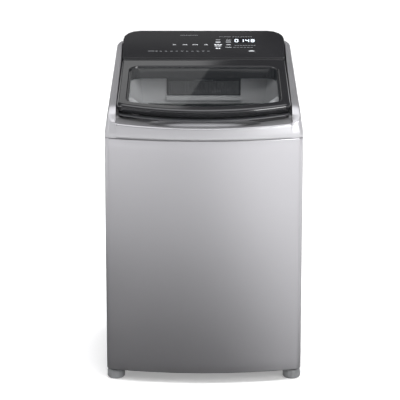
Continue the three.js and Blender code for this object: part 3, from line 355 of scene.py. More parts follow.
# painted glow: the white and grey print finishes carry a faint light of their own, though they are no lamps
finishes["glowingPrintWhite"] = makeGlow("glowingPrintWhite", (0.70, 0.72, 0.75), 0.08)
finishes["glowingPrintGrey"] = makeGlow("glowingPrintGrey", (0.34, 0.35, 0.37), 0.05)
finishes["digitGlow"] = makeGlow("digitGlow", (0.80, 0.88, 1.0), 0.9)
slotFinish = {
    "silver_paint": "silverPaint", "silver_plastic": "silverMoulding", "console_plastic": "consoleMatte",
    "black_gloss": "blackGloss", "smoked_glass": "smokedPane", "display_lens": "lens",
    "grey_plastic": "linerGrey", "dark_plastic": "darkPlastic", "white_plastic": "whitePlastic",
    "galvanised_steel": "galvanised", "spring_steel": "springSteel", "stainless_steel": "perforated",
    "cast_aluminium": "castMetal", "black_rubber": "rubber", "foot_plastic": "footPlastic",
    "circuit_board": "boardGreen",
}


def isKey(name):
    return name.endswith("_button") or name.startswith("option_button")


def dressNodes():
    # every solid that stays gets the finish of its slot
    for name, node in frame["nodes"].items():
        finish = finishes["keyBlack" if isKey(name) else slotFinish[slotOfNode[name]]]
        if not node.material_slots:
            node.data.materials.append(finish)
        for holder in node.material_slots:
            holder.material = finish


dressNodes()
print("finishes made:", len(finishes))


# Cabinet

def cabinetSkin():
    # a vertical profile (flange, rounded hem, wall, rounded hem, flange) carried round the bowed outline;
    # each profile point is an inset from the outline and a height
    s = cabinetShape
    low, high = shellLow[2], shellHigh[2]
    hem, flange, sheet = s["hem"], s["flange"], s["sheet"]
    a = np.linspace(0.0, math.pi / 2, 6)
    foot = np.stack([hem - hem * np.sin(a), low + hem - hem * np.cos(a)], axis=1)
    top = np.stack([hem - hem * np.cos(a), high - hem + hem * np.sin(a)], axis=1)
    wall = np.stack([np.zeros(24), np.linspace(low + hem, high - hem, 26)[1:-1]], axis=1)
    inner = [[flange, high - sheet], [hem, high - sheet], [sheet, high - hem],
             [sheet, low + hem], [hem, low + sheet], [flange, low + sheet]]
    profile = np.concatenate([[[flange, low]], foot, wall, top, [[flange, high]], inner])
    rows = [bowedLoop(halfWidth, frontY, rearY, s["bow"], s["frontRadius"], s["rearRadius"], inset)
            for inset in profile[:, 0]]
    points = np.stack([np.concatenate([loop, np.full((len(loop), 1), z)], axis=1)
                       for loop, z in zip(rows, profile[:, 1])])
    return gridPiece("cabinetSkin", points, finishes["silverPaint"], "cabinet", "silver_paint",
                     stands=("cabinet_shell",))


cabinetSkin()
print("cabinet skin made")


# Lid: a bowed slab of gloss plastic round a curved smoked pane

def lidTop(y):
    return lidRearZ + (y - lidRear) * lidShape["slope"]


def flared(loop):
    # scales a loop in x, from 1 at the lid's front to 1 + flare at its rear
    loop[:, 0] *= 1.0 + lidShape["flare"] * np.clip((loop[:, 1] - lidFront) / lidLength, 0.0, 1.0)
    return loop


def lidOutline(inset, drop):
    # outline of the slab: front arc, flared sides; drop moves the front back along the raked nose
    s = lidShape
    front = lidFront + s["rake"] * drop
    return flared(bowedLoop(s["half"], front, lidRear, s["bow"], s["radius"], s["rearRadius"], inset,
                            (72, 14, 44, 12, 30)))


def windowOutline(inset):
    # rounded quadrilateral of the window, its front edge bowed with the slab
    s = lidShape
    half, corner = s["half"] - s["sideBorder"], s["windowRadius"]
    return flared(bowedLoop(half, lidFront + s["frontBorder"], lidRear - s["rearBorder"], s["windowBow"],
                            corner, corner, inset, (60, 16, 30, 16, 40)))


def raysOf(loop):
    # the middle of the window, and the angles about it of a loop's points
    centre = np.array([0.0, (paneLow[1] + paneHigh[1]) / 2])
    return centre, np.sort(np.arctan2(loop[:, 1] - centre[1], loop[:, 0] - centre[0]))


def lidFrame():
    # rings from the window edge, over the crowned top, round the nose and back under to the ledge;
    # every ring holds the same angles about the middle of the window, so quads run straight out
    s = lidShape
    centre, angles = raysOf(lidOutline(0.0, 0.0))
    rings = []

    def ring(loop, down):
        at = atAngles(loop, centre, angles)
        rings.append(np.stack([at[:, 0], at[:, 1], lidTop(at[:, 1]) - down], axis=1))

    for depth in s["ledgeDepths"]:
        ring(windowOutline(s["ledge"]), depth)
    ring(windowOutline(0.0012), s["lipDepth"])
    for k in np.linspace(0.0, 1.0, 5):
        ring(windowOutline(-s["lip"] * k), s["lipDepth"] * (1 - math.sin(k * math.pi / 2)))
    inner = atAngles(windowOutline(-s["lip"]), centre, angles)
    outer = atAngles(lidOutline(s["rim"], 0.0), centre, angles)
    for k in np.linspace(0.0, 1.0, 9)[1:]:
        mixed = inner * (1 - k) + outer * k
        rings.append(np.stack([mixed[:, 0], mixed[:, 1], lidTop(mixed[:, 1])], axis=1))
    # the rim rolls over in a quarter curve, the face falls and leans, then tucks under in another
    quarter = np.linspace(0.0, math.pi / 2, 9)[1:]
    for a in quarter:
        ring(lidOutline(s["rim"] * (1 - math.sin(a)), 0.0), s["rimDrop"] * (1 - math.cos(a)))
    for k in np.linspace(0.0, 1.0, 6)[1:]:
        ring(lidOutline(s["faceLean"] * k, s["faceRake"] * k), s["rimDrop"] * (1 - k) + s["faceDrop"] * k)
    for a in quarter:
        rake = s["faceRake"] + (1 - s["faceRake"]) * math.sin(a)
        ring(lidOutline(s["faceLean"] + s["tuck"] * (1 - math.cos(a)), rake),
             s["faceDrop"] + (s["thickness"] - s["faceDrop"]) * math.sin(a))
    for inset in s["underInsets"]:
        ring(lidOutline(inset, 1.0), s["thickness"])
    ring(windowOutline(s["ledge"]), s["thickness"])
    return gridPiece("lidFrame", np.stack(rings), finishes["blackGloss"], "lid", "black_gloss",
                     stands=("lid_frame",), sharp=50.0)


def lidPane():
    # concentric rings from the middle of the pane to its ground edge, and back underneath
    edge = windowOutline(lidShape["paneInset"])
    centre, angles = raysOf(edge)
    rim = atAngles(edge, centre, angles)
    inner = np.linspace(0.06, 0.94, 12)
    shares = np.concatenate([inner, [0.985, 0.996, 1.0, 1.0, 0.996, 0.985], inner[::-1]])
    # depth below the lid's top of each ring: flat, a rounded edge, flat
    top, bottom = lidShape["paneTop"], lidShape["paneBottom"]
    edgeDepths = [top, top + 0.0002, top + 0.0010, bottom - 0.0010, bottom - 0.0002, bottom]
    depth = np.concatenate([np.full(12, top), edgeDepths, np.full(12, bottom)])
    flat = centre + (rim - centre)[None] * shares[:, None, None]
    points = np.concatenate([flat, (lidTop(flat[..., 1]) - depth[:, None])[..., None]], axis=2)
    return gridPiece("lidPane", points, finishes["smokedPane"], "lid", "smoked_glass", closed=(False, True),
                     caps=True, stands=("lid_glass",), sharp=60.0)


lidFrame()
lidPane()
print("lid made")


# Top cover: one closed band round the machine, from the seam over the rails to the deck and the well's edge

coverLocal = {
    "lipRadius": 0.004, "plainEdge": 0.0005, "wall": 0.0035, "scoopY": 0.002, "scoopRise": 0.002,
    "scoopRadii": (0.190, 0.034, 0.022), "stepBack": 0.040, "stepRun": 0.012, "lidFloat": 0.007,
    "shelfRise": 0.116, "sideGap": 0.003, "deckEdge": 0.012, "rearCut": 0.06, "rearHalf": 0.16,
    "rearGap": 0.0044,
}
railShape = {
    "round": 0.006, "innerRound": 0.002, "innerLead": 0.030, "floorCover": 0.004, "consoleGap": 0.0035,
    "consoleCorner": 0.0588,
}
wellShape = {
    "sideMargin": 0.028, "rearMargin": 0.027, "frontMargin": 0.110, "cutX": 0.054, "cutY": 0.105,
    "rearCutX": 0.041, "frontHalf": 0.110, "frontCutY": 0.055, "wall": 0.003, "cornerRadius": 0.007,
    "rimOverlap": 0.0034,
}
consoleDepth = 0.191
wellHalf = lidShape["half"] - wellShape["sideMargin"]
wellFront = lidFront + wellShape["frontMargin"]
wellRear = lidRear - wellShape["rearMargin"]
consoleFront = rearY - consoleDepth
shelfZ = seamZ + coverLocal["shelfRise"]


def fasciaTop(y):
    return seamZ + coverShape["fasciaHeight"] + (y - frontY) * coverShape["fasciaSlope"]


def deckHeight(y):
    return lidTop(y) - lidShape["thickness"] - coverLocal["lidFloat"]


def railTop(y):
    # a low front end, one sweep up to the shoulder, then a straight slope to the rear
    c = coverShape
    beyond = 0.005
    shoulder = np.array([cornerY + c["shoulderBack"], seamZ + c["shoulderRise"]])
    start = np.array([cornerY - c["sweepLead"], seamZ + c["fasciaHeight"] + c["sweepLift"]])
    bend = shoulder - [c["bendBack"], c["bendDrop"]]
    t = np.linspace(0.0, 1.0, 60)[:, None]
    sweep = t ** 2 * shoulder + 2 * t * (1 - t) * bend + (1 - t) ** 2 * start
    rearZ = shoulder[1] + (rearY + beyond - shoulder[0]) * c["railSlope"]
    ends = np.array([[frontY - beyond, fasciaTop(frontY)], [rearY + beyond, rearZ]])
    ys, zs = np.concatenate([ends[:1], sweep, ends[1:]]).T
    return np.interp(y, ys, zs)


def floorHeight(x, y):
    # front ledge, a step up, the deck, then the shelf below the console
    c = coverLocal
    blend = smoothStep((y - cornerY - c["stepBack"]) / c["stepRun"])
    level = fasciaTop(y) * (1 - blend) + deckHeight(y) * blend
    level = np.where(y > lidRear, shelfZ, level)
    # the finger scoop is a dished ellipsoid whose middle is a little above the ledge
    rx, ry, rz = c["scoopRadii"]
    centreY = cornerY + c["scoopY"]
    inside = 1.0 - (x / rx) ** 2 - ((y - centreY) / ry) ** 2
    bowl = fasciaTop(centreY) + c["scoopRise"] - rz * np.sqrt(np.clip(inside, 0.0, 1.0))
    return np.where(inside > 0, np.minimum(level, bowl), level)


def wellLoop(margin, centre, angles):
    # ten-sided outline of the loading well with its corners eased, sampled at the given angles
    w = wellShape
    half, front, rear = wellHalf + margin, wellFront - margin, wellRear + margin
    right = [
        [w["frontHalf"] + margin / 2, front], [half - w["cutX"], front + w["frontCutY"]],
        [half, front + w["frontCutY"] + w["cutY"]], [half, rear - w["cutY"]], [half - w["rearCutX"], rear],
    ]
    left = [[-x, y] for x, y in right[::-1]]
    return atAngles(rounded(np.array(right + left), w["cornerRadius"]), centre, angles)


def bayHalf(y):
    share = np.clip((y - lidFront) / lidLength, -0.2, 1.0)
    return lidShape["half"] * (1 + lidShape["flare"] * share) + coverLocal["sideGap"]


bigRadius = (halfWidth ** 2 + cabinetShape["bow"] ** 2) / (2 * cabinetShape["bow"])
wellCentre = np.array([0.0, (wellFront + wellRear) / 2])


def frontArcY(x):
    # y of the large front arc at x
    return frontY + bigRadius - np.sqrt(bigRadius ** 2 - np.asarray(x) ** 2)


def lean(z):
    # how far the walls stand in at a height, above the upright foot
    return coverShape["lean"] * np.maximum(z - coverLow[2] - coverShape["uprightHeight"], 0.0)


def withHeight(at, z):
    # plan points and their heights, or one height, as points in space
    return np.concatenate([at, np.broadcast_to(z, len(at))[:, None]], axis=1)


def coverDeck():
    # rows run from the well's edge over the floor to the fascia's rim, down its face and back underneath
    c = coverLocal
    meetY = float(frontArcY(bayHalf(cornerY)))
    wide = float(bayHalf(lidRear))
    x = np.linspace(-bayHalf(meetY), bayHalf(meetY), 200)
    front = np.stack([x, frontArcY(x)], axis=1)
    sideY = np.linspace(meetY, lidRear, 60)[1:]
    side = np.stack([bayHalf(sideY), sideY], axis=1)
    back = np.array([[wide, rearY - c["rearCut"]], [c["rearHalf"], rearY - c["rearGap"]]])
    outline = np.concatenate([front, side, back, back[::-1] * [-1, 1], side[::-1] * [-1, 1]])
    offset = outline - wellCentre
    angles = np.sort(np.arctan2(offset[:, 1], offset[:, 0]))
    outer = atAngles(outline, wellCentre, angles)
    inner = wellLoop(wellShape["rimOverlap"], wellCentre, angles)
    onFront = np.abs(outer[:, 1] - frontArcY(np.clip(outer[:, 0], -0.32, 0.32))) < 1e-4
    radius = np.where(onFront, c["lipRadius"], c["plainEdge"])
    bottom = np.where(onFront, coverLow[2], floorHeight(*outer.T) - c["deckEdge"])
    away = outer - wellCentre
    away /= np.linalg.norm(away, axis=1)[:, None]

    def moved(amount):
        # the outline drawn in towards the well
        return outer - away * np.broadcast_to(amount, len(outer))[:, None]

    rimZ = floorHeight(*moved(radius).T)
    rimInset = np.where(onFront, lean(rimZ), 0.0)
    rim = moved(radius + rimInset)
    rows = []
    for share in np.linspace(0.0, 1.0, 56):
        at = inner * (1 - share) + rim * share
        rows.append(withHeight(at, floorHeight(*at.T)))
    for a in np.linspace(0.0, math.pi / 2, 7)[1:]:
        z = rimZ - radius * (1 - math.cos(a))
        rows.append(withHeight(moved(radius * (1 - math.sin(a)) + np.where(onFront, lean(z), 0.0)), z))
    for share in np.linspace(0.0, 1.0, 8)[1:]:
        z = (rimZ - radius) * (1 - share) + (bottom + 0.001) * share
        rows.append(withHeight(moved(np.where(onFront, lean(z), 0.0)), z))
    rows.append(withHeight(moved(0.0006), bottom))
    rows.append(withHeight(moved(c["wall"]), bottom))
    under = moved(c["wall"] + rimInset)
    rows.append(withHeight(under, np.maximum(rimZ - c["wall"], bottom + 0.001)))
    for share in np.linspace(0.96, 0.0, 20):
        at = inner * (1 - share) + under * share
        rows.append(withHeight(at, floorHeight(*at.T) - c["wall"]))
    return gridPiece("coverDeck", np.stack(rows), finishes["silverMoulding"], "cabinet", "silver_plastic",
                     stands=("top_cover",), sharp=40.0)


def railStations():
    # outer and inner plan points, in pairs, from the right front end round the rear to the left one
    r = railShape
    startX = float(bayHalf(float(frontArcY(bayHalf(cornerY)))))
    startY = float(frontArcY(startX))
    near, far = cabinetShape["frontRadius"], coverShape["rearRadius"]
    centreY = frontY + bigRadius
    nearY = centreY - math.sqrt((bigRadius - near) ** 2 - (halfWidth - near) ** 2)
    meet = math.atan2(nearY - centreY, halfWidth - near)
    begin = math.atan2(startY - centreY, startX)
    straight = np.linspace(nearY, rearY - far, 60)[1:]
    across = np.linspace(halfWidth - far, 0.0, 14)[1:]
    outer = np.concatenate([
        arcPoints(0.0, centreY, bigRadius, begin, meet, 12),
        arcPoints(halfWidth - near, nearY, near, meet, 0.0, 12)[1:],
        np.stack([np.full_like(straight, halfWidth), straight], axis=1),
        arcPoints(halfWidth - far, rearY - far, far, 0.0, math.pi / 2, 24)[1:],
        np.stack([across, np.full_like(across, rearY)], axis=1),
    ])
    corner, rear = r["consoleCorner"], rearY - r["consoleGap"]
    wide, lead = float(bayHalf(lidRear)), startY + r["innerLead"]
    side = np.concatenate([np.linspace(startY, lead, 23), np.linspace(lead, rear - corner, 60)[1:]])
    innerAcross = np.linspace(wide - corner, 0.0, 14)[1:]
    inner = np.concatenate([
        np.stack([bayHalf(side), side], axis=1),
        arcPoints(wide - corner, rear - corner, corner, 0.0, math.pi / 2, 24)[1:],
        np.stack([innerAcross, np.full_like(innerAcross, rear)], axis=1),
    ])
    return [np.concatenate([half, half[-2::-1] * [-1, 1]]) for half in (outer, inner)]


def coverRails():
    # each pair of stations carries a section: leaning outer wall, rounded top, inner wall
    r, wall = railShape, coverLocal["wall"]
    outer, inner = railStations()
    length = np.linalg.norm(outer - inner, axis=1)
    normal = (outer - inner) / np.maximum(length, 1e-6)[:, None]
    low = coverLow[2]
    level = railTop(outer[:, 1])

    def leaned(z):
        # the wall leans towards the middle: in x everywhere, in y only at the front
        at = outer.copy()
        amount = lean(z)
        at[:, 0] -= np.sign(at[:, 0]) * amount * np.minimum(1.0, np.abs(at[:, 0]) / (halfWidth / 2))
        at[:, 1] += amount * np.clip((tubY - at[:, 1]) / (tubY - frontY), 0.0, 1.0)
        return at

    rows = []
    radius = np.minimum(r["round"], np.maximum(length, 0.0002) * 0.4)
    radius = np.minimum(radius, (level - low) * 0.4)
    for share in np.linspace(0.0, 1.0, 10):
        z = low * (1 - share) + (level - radius) * share
        rows.append(withHeight(leaned(z), z))
    topOuter = leaned(level - radius)
    reach = np.linalg.norm(topOuter - inner, axis=1)
    direction = (topOuter - inner) / np.maximum(reach, 1e-6)[:, None]
    radius = np.minimum(radius, reach * 0.45)
    for a in np.linspace(0.0, math.pi / 2, 7)[1:]:
        at = topOuter - direction * (radius * (1 - math.cos(a)))[:, None]
        rows.append(withHeight(at, level - radius + radius * math.sin(a)))
    small = np.minimum(r["innerRound"], reach * 0.3)
    for a in np.linspace(0.0, math.pi / 2, 5):
        at = inner + direction * (small * (1 - math.sin(a)))[:, None]
        rows.append(withHeight(at, level - small * (1 - math.cos(a))))
    floor = np.maximum(floorHeight(inner[:, 0] * 0.99, inner[:, 1]) - r["floorCover"], low + 0.002)
    floor = np.minimum(floor, level - small - 0.0005)
    rows.append(withHeight(inner, floor))
    rows.append(withHeight(inner + direction * np.minimum(wall, reach * 0.4)[:, None], floor))
    rows.append(withHeight(outer - normal * np.minimum(wall, length * 0.5)[:, None], low))
    points = np.stack(rows)
    points[..., 1] = np.clip(points[..., 1], coverLow[1], coverHigh[1])
    return gridPiece("coverRails", points.transpose(1, 0, 2), finishes["silverMoulding"], "cabinet",
                     "silver_plastic", closed=(False, True), caps=True, sharp=40.0)


coverDeck()
coverRails()
print("top cover made")


# Softened copies: a solid's own shape with its corners eased

creaseAngle = math.radians(28.0)
flatWithin = math.radians(0.6)


def softened(name, finish, width, flatFaces=False):
    # a merged copy of a solid whose sharp edges are bevelled, shown in place of it
    mesh = frame["nodes"][name].data.copy()
    mesh.name = name + "Eased"
    bm = bmesh.new()
    bm.from_mesh(mesh)
    bmesh.ops.remove_doubles(bm, verts=bm.verts, dist=1e-5)
    if flatFaces:
        bmesh.ops.dissolve_limit(bm, angle_limit=flatWithin, verts=bm.verts, edges=bm.edges,
                                 delimit={"NORMAL"})
    bm.to_mesh(mesh)
    bm.free()
    mesh.materials.clear()
    mesh.materials.append(finishes[finish])
    mesh.shade_smooth()
    mesh.set_sharp_from_angle(angle=creaseAngle)
    piece = bpy.data.objects.new(name + "Eased", mesh)
    scene.collection.objects.link(piece)
    bevel = piece.modifiers.new("edges", "BEVEL")
    bevel.width = width
    bevel.segments = 3
    bevel.limit_method = "ANGLE"
    bevel.angle_limit = creaseAngle
    bevel.use_clamp_overlap = True
    bevel.harden_normals = True
    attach(piece, bodyOf[name])
    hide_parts(name)


easedNodes = {
    "control_panel": ("blackGloss", 0.0008), "display_window": ("lens", 0.0006),
    "console_housing": ("consoleMatte", 0.0015), "well_skirt": ("linerGrey", 0.0012),
    "dispenser_drawer": ("darkPlastic", 0.0010), "agitator": ("whitePlastic", 0.003),
    "agitator_cap": ("linerGrey", 0.003), "rear_panel": ("galvanised", 0.001),
}
keyEase = 0.0007
for nodeName, (finishName, edge) in easedNodes.items():
    softened(nodeName, finishName, edge, flatFaces=nodeName in ("control_panel", "display_window"))
for nodeName in sorted(filter(isKey, frame["nodes"])):
    softened(nodeName, "keyBlack", keyEase)
print("eased pieces made")


# Control panel print: thin raised pieces laid on the sloping panel

panelSlope = {"lift": 0.004, "rise": 0.056, "run": 0.187}
panelOrigin = np.array([0.0, consoleFront, lidRearZ + panelSlope["lift"]])
panelTilt = math.atan2(panelSlope["rise"], panelSlope["run"])
panelUp = np.array([0.0, math.cos(panelTilt), math.sin(panelTilt)])
panelNormal = np.array([0.0, -math.sin(panelTilt), math.cos(panelTilt)])


def onPanel(x, up, lift):
    # across, up the slope and off the face, all in metres, to the shared frame
    x, up, lift = np.broadcast_arrays(np.asarray(x, float), up, lift)
    return (panelOrigin + x[..., None] * np.array([1.0, 0.0, 0.0]) + up[..., None] * panelUp
            + lift[..., None] * panelNormal)


def panelTiles(name, tiles, lift, thick, finish, slot, body="cabinet"):
    # each tile (x, up, width, height in mm) is a small slab with eased corners: eight points, two levels
    t = np.asarray(tiles, float) / 1000.0
    ease = np.minimum(t[:, 2], t[:, 3]) * 0.22
    sx = np.array([1, 1, 1, 1, -1, -1, -1, -1.0])
    sy = np.array([-1, -1, 1, 1, 1, 1, -1, -1.0])
    ex = np.array([1, 0, 0, 1, 1, 0, 0, 1.0])
    px = t[:, 0:1] + sx[None] * (t[:, 2:3] / 2 - ease[:, None] * ex[None])
    py = t[:, 1:2] + sy[None] * (t[:, 3:4] / 2 - ease[:, None] * (1 - ex[None]))
    points = np.stack([onPanel(px, py, lift), onPanel(px, py, lift + thick)], axis=1).reshape(-1, 3)
    first = np.arange(len(t))[:, None] * 16
    ring = np.arange(8)[None]
    after = (ring + 1) % 8
    sides = np.stack([first + ring, first + after, first + 8 + after, first + 8 + ring], axis=-1)
    faces = sides.reshape(-1, 4).tolist() + (first + 8 + ring).tolist() + (first + ring[:, ::-1]).tolist()
    return pieceFrom(name, points, faces, finishes[finish], body, slot, sharp=30.0)


def keyMark(name, tiles, body):
    # ink on top of a key, which rides with it; the ink has a faint painted glow
    p = panelPrint
    panelTiles(name, tiles, p["keyLift"], p["keyInk"], "glowingPrintWhite", "black_gloss", body)


segmentBars = {  # seven bars of a digit: across and up from its middle, width, height, in digit heights
    "a": (0.0, 0.44, 0.36, 0.13), "b": (0.24, 0.22, 0.13, 0.36), "c": (0.24, -0.22, 0.13, 0.36),
    "d": (0.0, -0.44, 0.36, 0.13), "e": (-0.24, -0.22, 0.13, 0.36), "f": (-0.24, 0.22, 0.13, 0.36),
    "g": (0.0, 0.0, 0.36, 0.13),
}
digitBars = {"0": "abcdef", "1": "bc", "4": "fgbc", "8": "abcdefg"}
panelPrint = {  # places and sizes in mm across and up the panel; lifts and inks in metres off its face
    "displayAt": (144.0, 122.0), "digitHeight": 21.0, "digits": "0148", "digitStep": 19.0,
    "optionKeys": ((-103, 92), (-66, 92), (-30, 92), (8, 92)), "optionWide": (13.0, 17.0, 21.0, 12.0),
    "keyLift": 0.0006, "keyInk": 0.00015, "flatLift": 0.00005, "fineInk": 0.00012,
}


def panelPrintPieces():
    p = panelPrint
    centreX, centreUp = p["displayAt"]
    size = p["digitHeight"]
    bars = []
    for k, digit in enumerate(p["digits"]):
        for x, up, wide, high in (segmentBars[bar] for bar in digitBars[digit]):
            middle = centreX + (k - 1.5) * p["digitStep"]
            bars.append((middle + x * size, centreUp + up * size, wide * size, high * size))
    panelTiles("displayDigits", bars, 0.0001, 0.0002, "digitGlow", "display_lens")
    for number, ((x, up), wide) in enumerate(zip(p["optionKeys"], p["optionWide"]), start=1):
        dashes = [(x - wide * 0.32, up, wide * 0.26, 2.6), (x, up, wide * 0.24, 2.6),
                  (x + wide * 0.32, up, wide * 0.26, 2.6)]
        keyMark("optionMark%d" % number, dashes, "option_button_%d" % number)
    keyMark("programMark", [(50, 111, 18, 3.0), (50, 105.8, 11, 1.4)], "program_button")
    keyMark("startMark", [(46, 66, 8, 5.5), (55, 66, 6, 5.5)], "start_button")
    keyMark("levelMark", [(80 + 4 * k, 92, 2.2, 2.0 + 1.4 * k) for k in range(4)], "water_level_button")
    keyMark("powerMark", [(167, 46, 20, 3.2), (167, 50.5, 8, 1.6)], "power_button")
    # programme list either side of the programme key: bright bars in two columns, then fine legends, all with
    # a faint painted glow
    flat, fine = p["flatLift"], p["fineInk"]
    rows = [(41, 93, 8, 4.4), (51, 93, 9, 4.4), (61, 93, 7, 4.4), (44, 83.5, 10, 3.4), (56, 83.5, 10, 3.4),
            (50, 128, 16, 1.4), (87, 126, 16, 1.6), (87, 112, 18, 1.8), (87, 74, 22, 1.4)]
    panelTiles("programmeBars", rows, flat, p["keyInk"], "glowingPrintWhite", "console_plastic")
    legends = [(112 + 9.5 * k, 87, 6.4, 1.3) for k in range(8)]
    legends += [(108 + 12 * k, 73, 8.6, 1.1) for k in range(6)]
    legends += [(-80 + 6.4 * k, 161, 4.6, 1.2) for k in range(10)]
    legends += [(58 + 7 * k, 150, 5.0, 1.0) for k in range(6)]
    legends += [(105 + 9 * k, 150, 6.2, 1.0) for k in range(8)]
    panelTiles("fineLegends", legends, flat, fine, "glowingPrintGrey", "console_plastic")
    # a row of programme lamps along the groove
    lamps = [(-150 + 18.5 * k, 46, 7.5, 1.4) for k in range(10)]
    panelTiles("grooveLine", [(-66, 46, 178, 2.4)], 0.00004, 0.0001, "keyBlack", "console_plastic")
    panelTiles("programmeLamps", lamps, 0.00015, fine, "glowingPrintGrey", "console_plastic")
    dashes = [(-190, 47, 9, 1.6), (-178, 47, 11, 1.6), (-165, 47, 8, 1.6)]
    panelTiles("sideLegend", dashes, flat, fine, "glowingPrintGrey", "console_plastic")


panelPrintPieces()
print("panel print made")


# Drawer: ribs on its front and a row of dots above them

drawerFace = {
    "play": 0.0004, "gripDepth": 0.013, "plateDepth": 0.007, "ribs": 26, "ribDepth": 0.0012,
    "ribLift": 0.0003, "sink": 0.0008, "margin": 0.006, "lowMargin": 0.004, "highMargin": 0.011,
    "fade": 0.003,
    "dots": 11, "dotStep": 0.0060, "dotRadius": 0.0017, "dotLift": 0.0009, "dotsBelow": 0.006,
}
plateBackY = wellRear + wellShape["wall"] - drawerFace["play"]
drawerFrontY = plateBackY - drawerFace["plateDepth"]
gripFrontY = plateBackY - drawerFace["gripDepth"]


def drawerRibs():
    # a plate whose front wavers as a rectified cosine across: y = face - depth * |cos(pi * ribs * x)|
    d = drawerFace
    x = np.linspace(drawerLow[0] + d["margin"], drawerHigh[0] - d["margin"], d["ribs"] * 12 + 1)
    z = np.linspace(drawerLow[2] + d["lowMargin"], drawerHigh[2] - d["highMargin"], 14)
    share = (x - x[0]) / (x[-1] - x[0])
    ends = np.minimum(1.0, np.minimum(share, 1 - share) * 40.0)
    wave = np.abs(np.cos(math.pi * d["ribs"] * share)) ** 0.7 * d["ribDepth"] * ends
    fade = np.minimum(1.0, np.minimum(z - z[0], z[-1] - z) / d["fade"])
    face = drawerFrontY - d["ribLift"] - wave[None] * fade[:, None]
    front = np.stack([np.broadcast_to(x[None], face.shape), face, np.broadcast_to(z[:, None], face.shape)],
                     axis=-1)
    back = front.copy()
    back[..., 1] = drawerFrontY + d["sink"]
    points = np.concatenate([front, back[::-1]]).transpose(1, 0, 2)
    return gridPiece("drawerRibs", points, finishes["ribPlastic"], "drawer", "dark_plastic",
                     closed=(False, True), caps=True, sharp=60.0)


def drawerDots():
    # small domed studs: radius and height follow a quarter circle about each centre
    d = drawerFace
    a = np.linspace(0, 2 * math.pi, 12, endpoint=False)
    lift = np.linspace(0, math.pi / 2, 4)
    cx = (np.arange(d["dots"]) - (d["dots"] - 1) / 2) * d["dotStep"]
    r = d["dotRadius"] * np.cos(lift)
    px = cx[:, None, None] + r[None, :, None] * np.cos(a)[None, None]
    pz = drawerHigh[2] - d["dotsBelow"] + r[None, :, None] * np.sin(a)[None, None] + 0 * px
    py = gripFrontY - d["dotLift"] * np.sin(lift)[None, :, None] + 0 * px
    count, rows, columns = px.shape
    one = quadsOf(rows, columns, False, True)
    faces = [f for k in range(count) for f in (one + k * rows * columns).tolist()]
    faces += [list(range(k * rows * columns, k * rows * columns + columns))[::-1] for k in range(count)]
    # the studs carry the grey print finish with its faint painted glow
    return pieceFrom("drawerDots", np.stack([px, py, pz], axis=-1), faces, finishes["glowingPrintGrey"], "drawer",
                     "grey_plastic")


drawerRibs()
drawerDots()


# Basket: fluted perforated wall, and a rolled balance ring

basketShape = {
    "flutes": 18, "fluteDepth": 0.0035, "sides": 288, "inside": 0.0004, "sheet": 0.0014, "lowPlain": 0.03,
    "highPlain": 0.07, "fade": 0.05, "ringWide": 0.040, "ringRise": 0.006, "ringRound": 0.010,
}


def basketWall():
    # radius = wall radius less a shallow cosine flute that fades out at the top and the bottom
    s = basketShape
    radius = (basketHigh[0] - basketLow[0]) / 2
    a = np.linspace(0.0, 2 * math.pi, s["sides"], endpoint=False)
    z = np.linspace(basketLow[2], basketHigh[2], 60)
    fade = (smoothStep((z - basketLow[2] - s["lowPlain"]) / s["fade"])
            * smoothStep((basketHigh[2] - s["highPlain"] - z) / s["fade"]))
    flute = (0.5 - 0.5 * np.cos(s["flutes"] * a))[None] ** 2 * fade[:, None] * s["fluteDepth"]
    sheets = []
    for inset, order in ((0.0, 1), (s["sheet"], -1)):
        r = radius - s["inside"] - flute - inset
        sheet = np.stack([r * np.cos(a)[None], tubY + r * np.sin(a)[None], z[:, None] + 0 * r], axis=-1)
        sheets.append(sheet[::order])
    return gridPiece("basketWall", np.concatenate(sheets), finishes["perforated"], bodyOf["basket_wall"],
                     slotOfNode["basket_wall"], stands=("basket_wall",), sharp=60.0)


def balanceRing():
    s = basketShape
    low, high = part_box("balance_ring")
    outer = (high[0] - low[0]) / 2
    inner, bottom, top = outer - s["ringWide"], low[2], high[2]
    section = rounded([[outer, bottom], [outer, top], [inner, top], [inner, bottom + s["ringRise"]]],
                      s["ringRound"], 6)
    return gridPiece("balanceRing", turnedPoints(section, tubY, 144), finishes["ringGrey"],
                     bodyOf["balance_ring"], slotOfNode["balance_ring"], stands=("balance_ring",),
                     sharp=50.0)


basketWall()
balanceRing()
print("drawer face and basket made")


# Studio

studio = {
    "cameraBack": 8.0, "cameraHeight": 2.854, "cameraX": -0.013, "tilt": 16.072, "lens": 215.5,
    "floorFront": -9.0, "floorRear": 6.0, "floorHalf": 9.0, "curl": 1.2, "paperGlow": 0.28,
    "horizon": 0.9, "low": 0.45, "high": 0.025, "zenith": 2.0,
}
cards = {
    "low": (-4.0, -4.6), "high": (4.0, 3.0), "lift": 0.004, "near": 0.03, "far": 1.35, "right": 0.62,
    "left": 0.6, "front": 0.372, "side": 0.6, "reach": 3.0, "fall": 2.1, "glareY": 4.0, "lidGlare": 0.5,
    "panelGlare": 0.22,
}


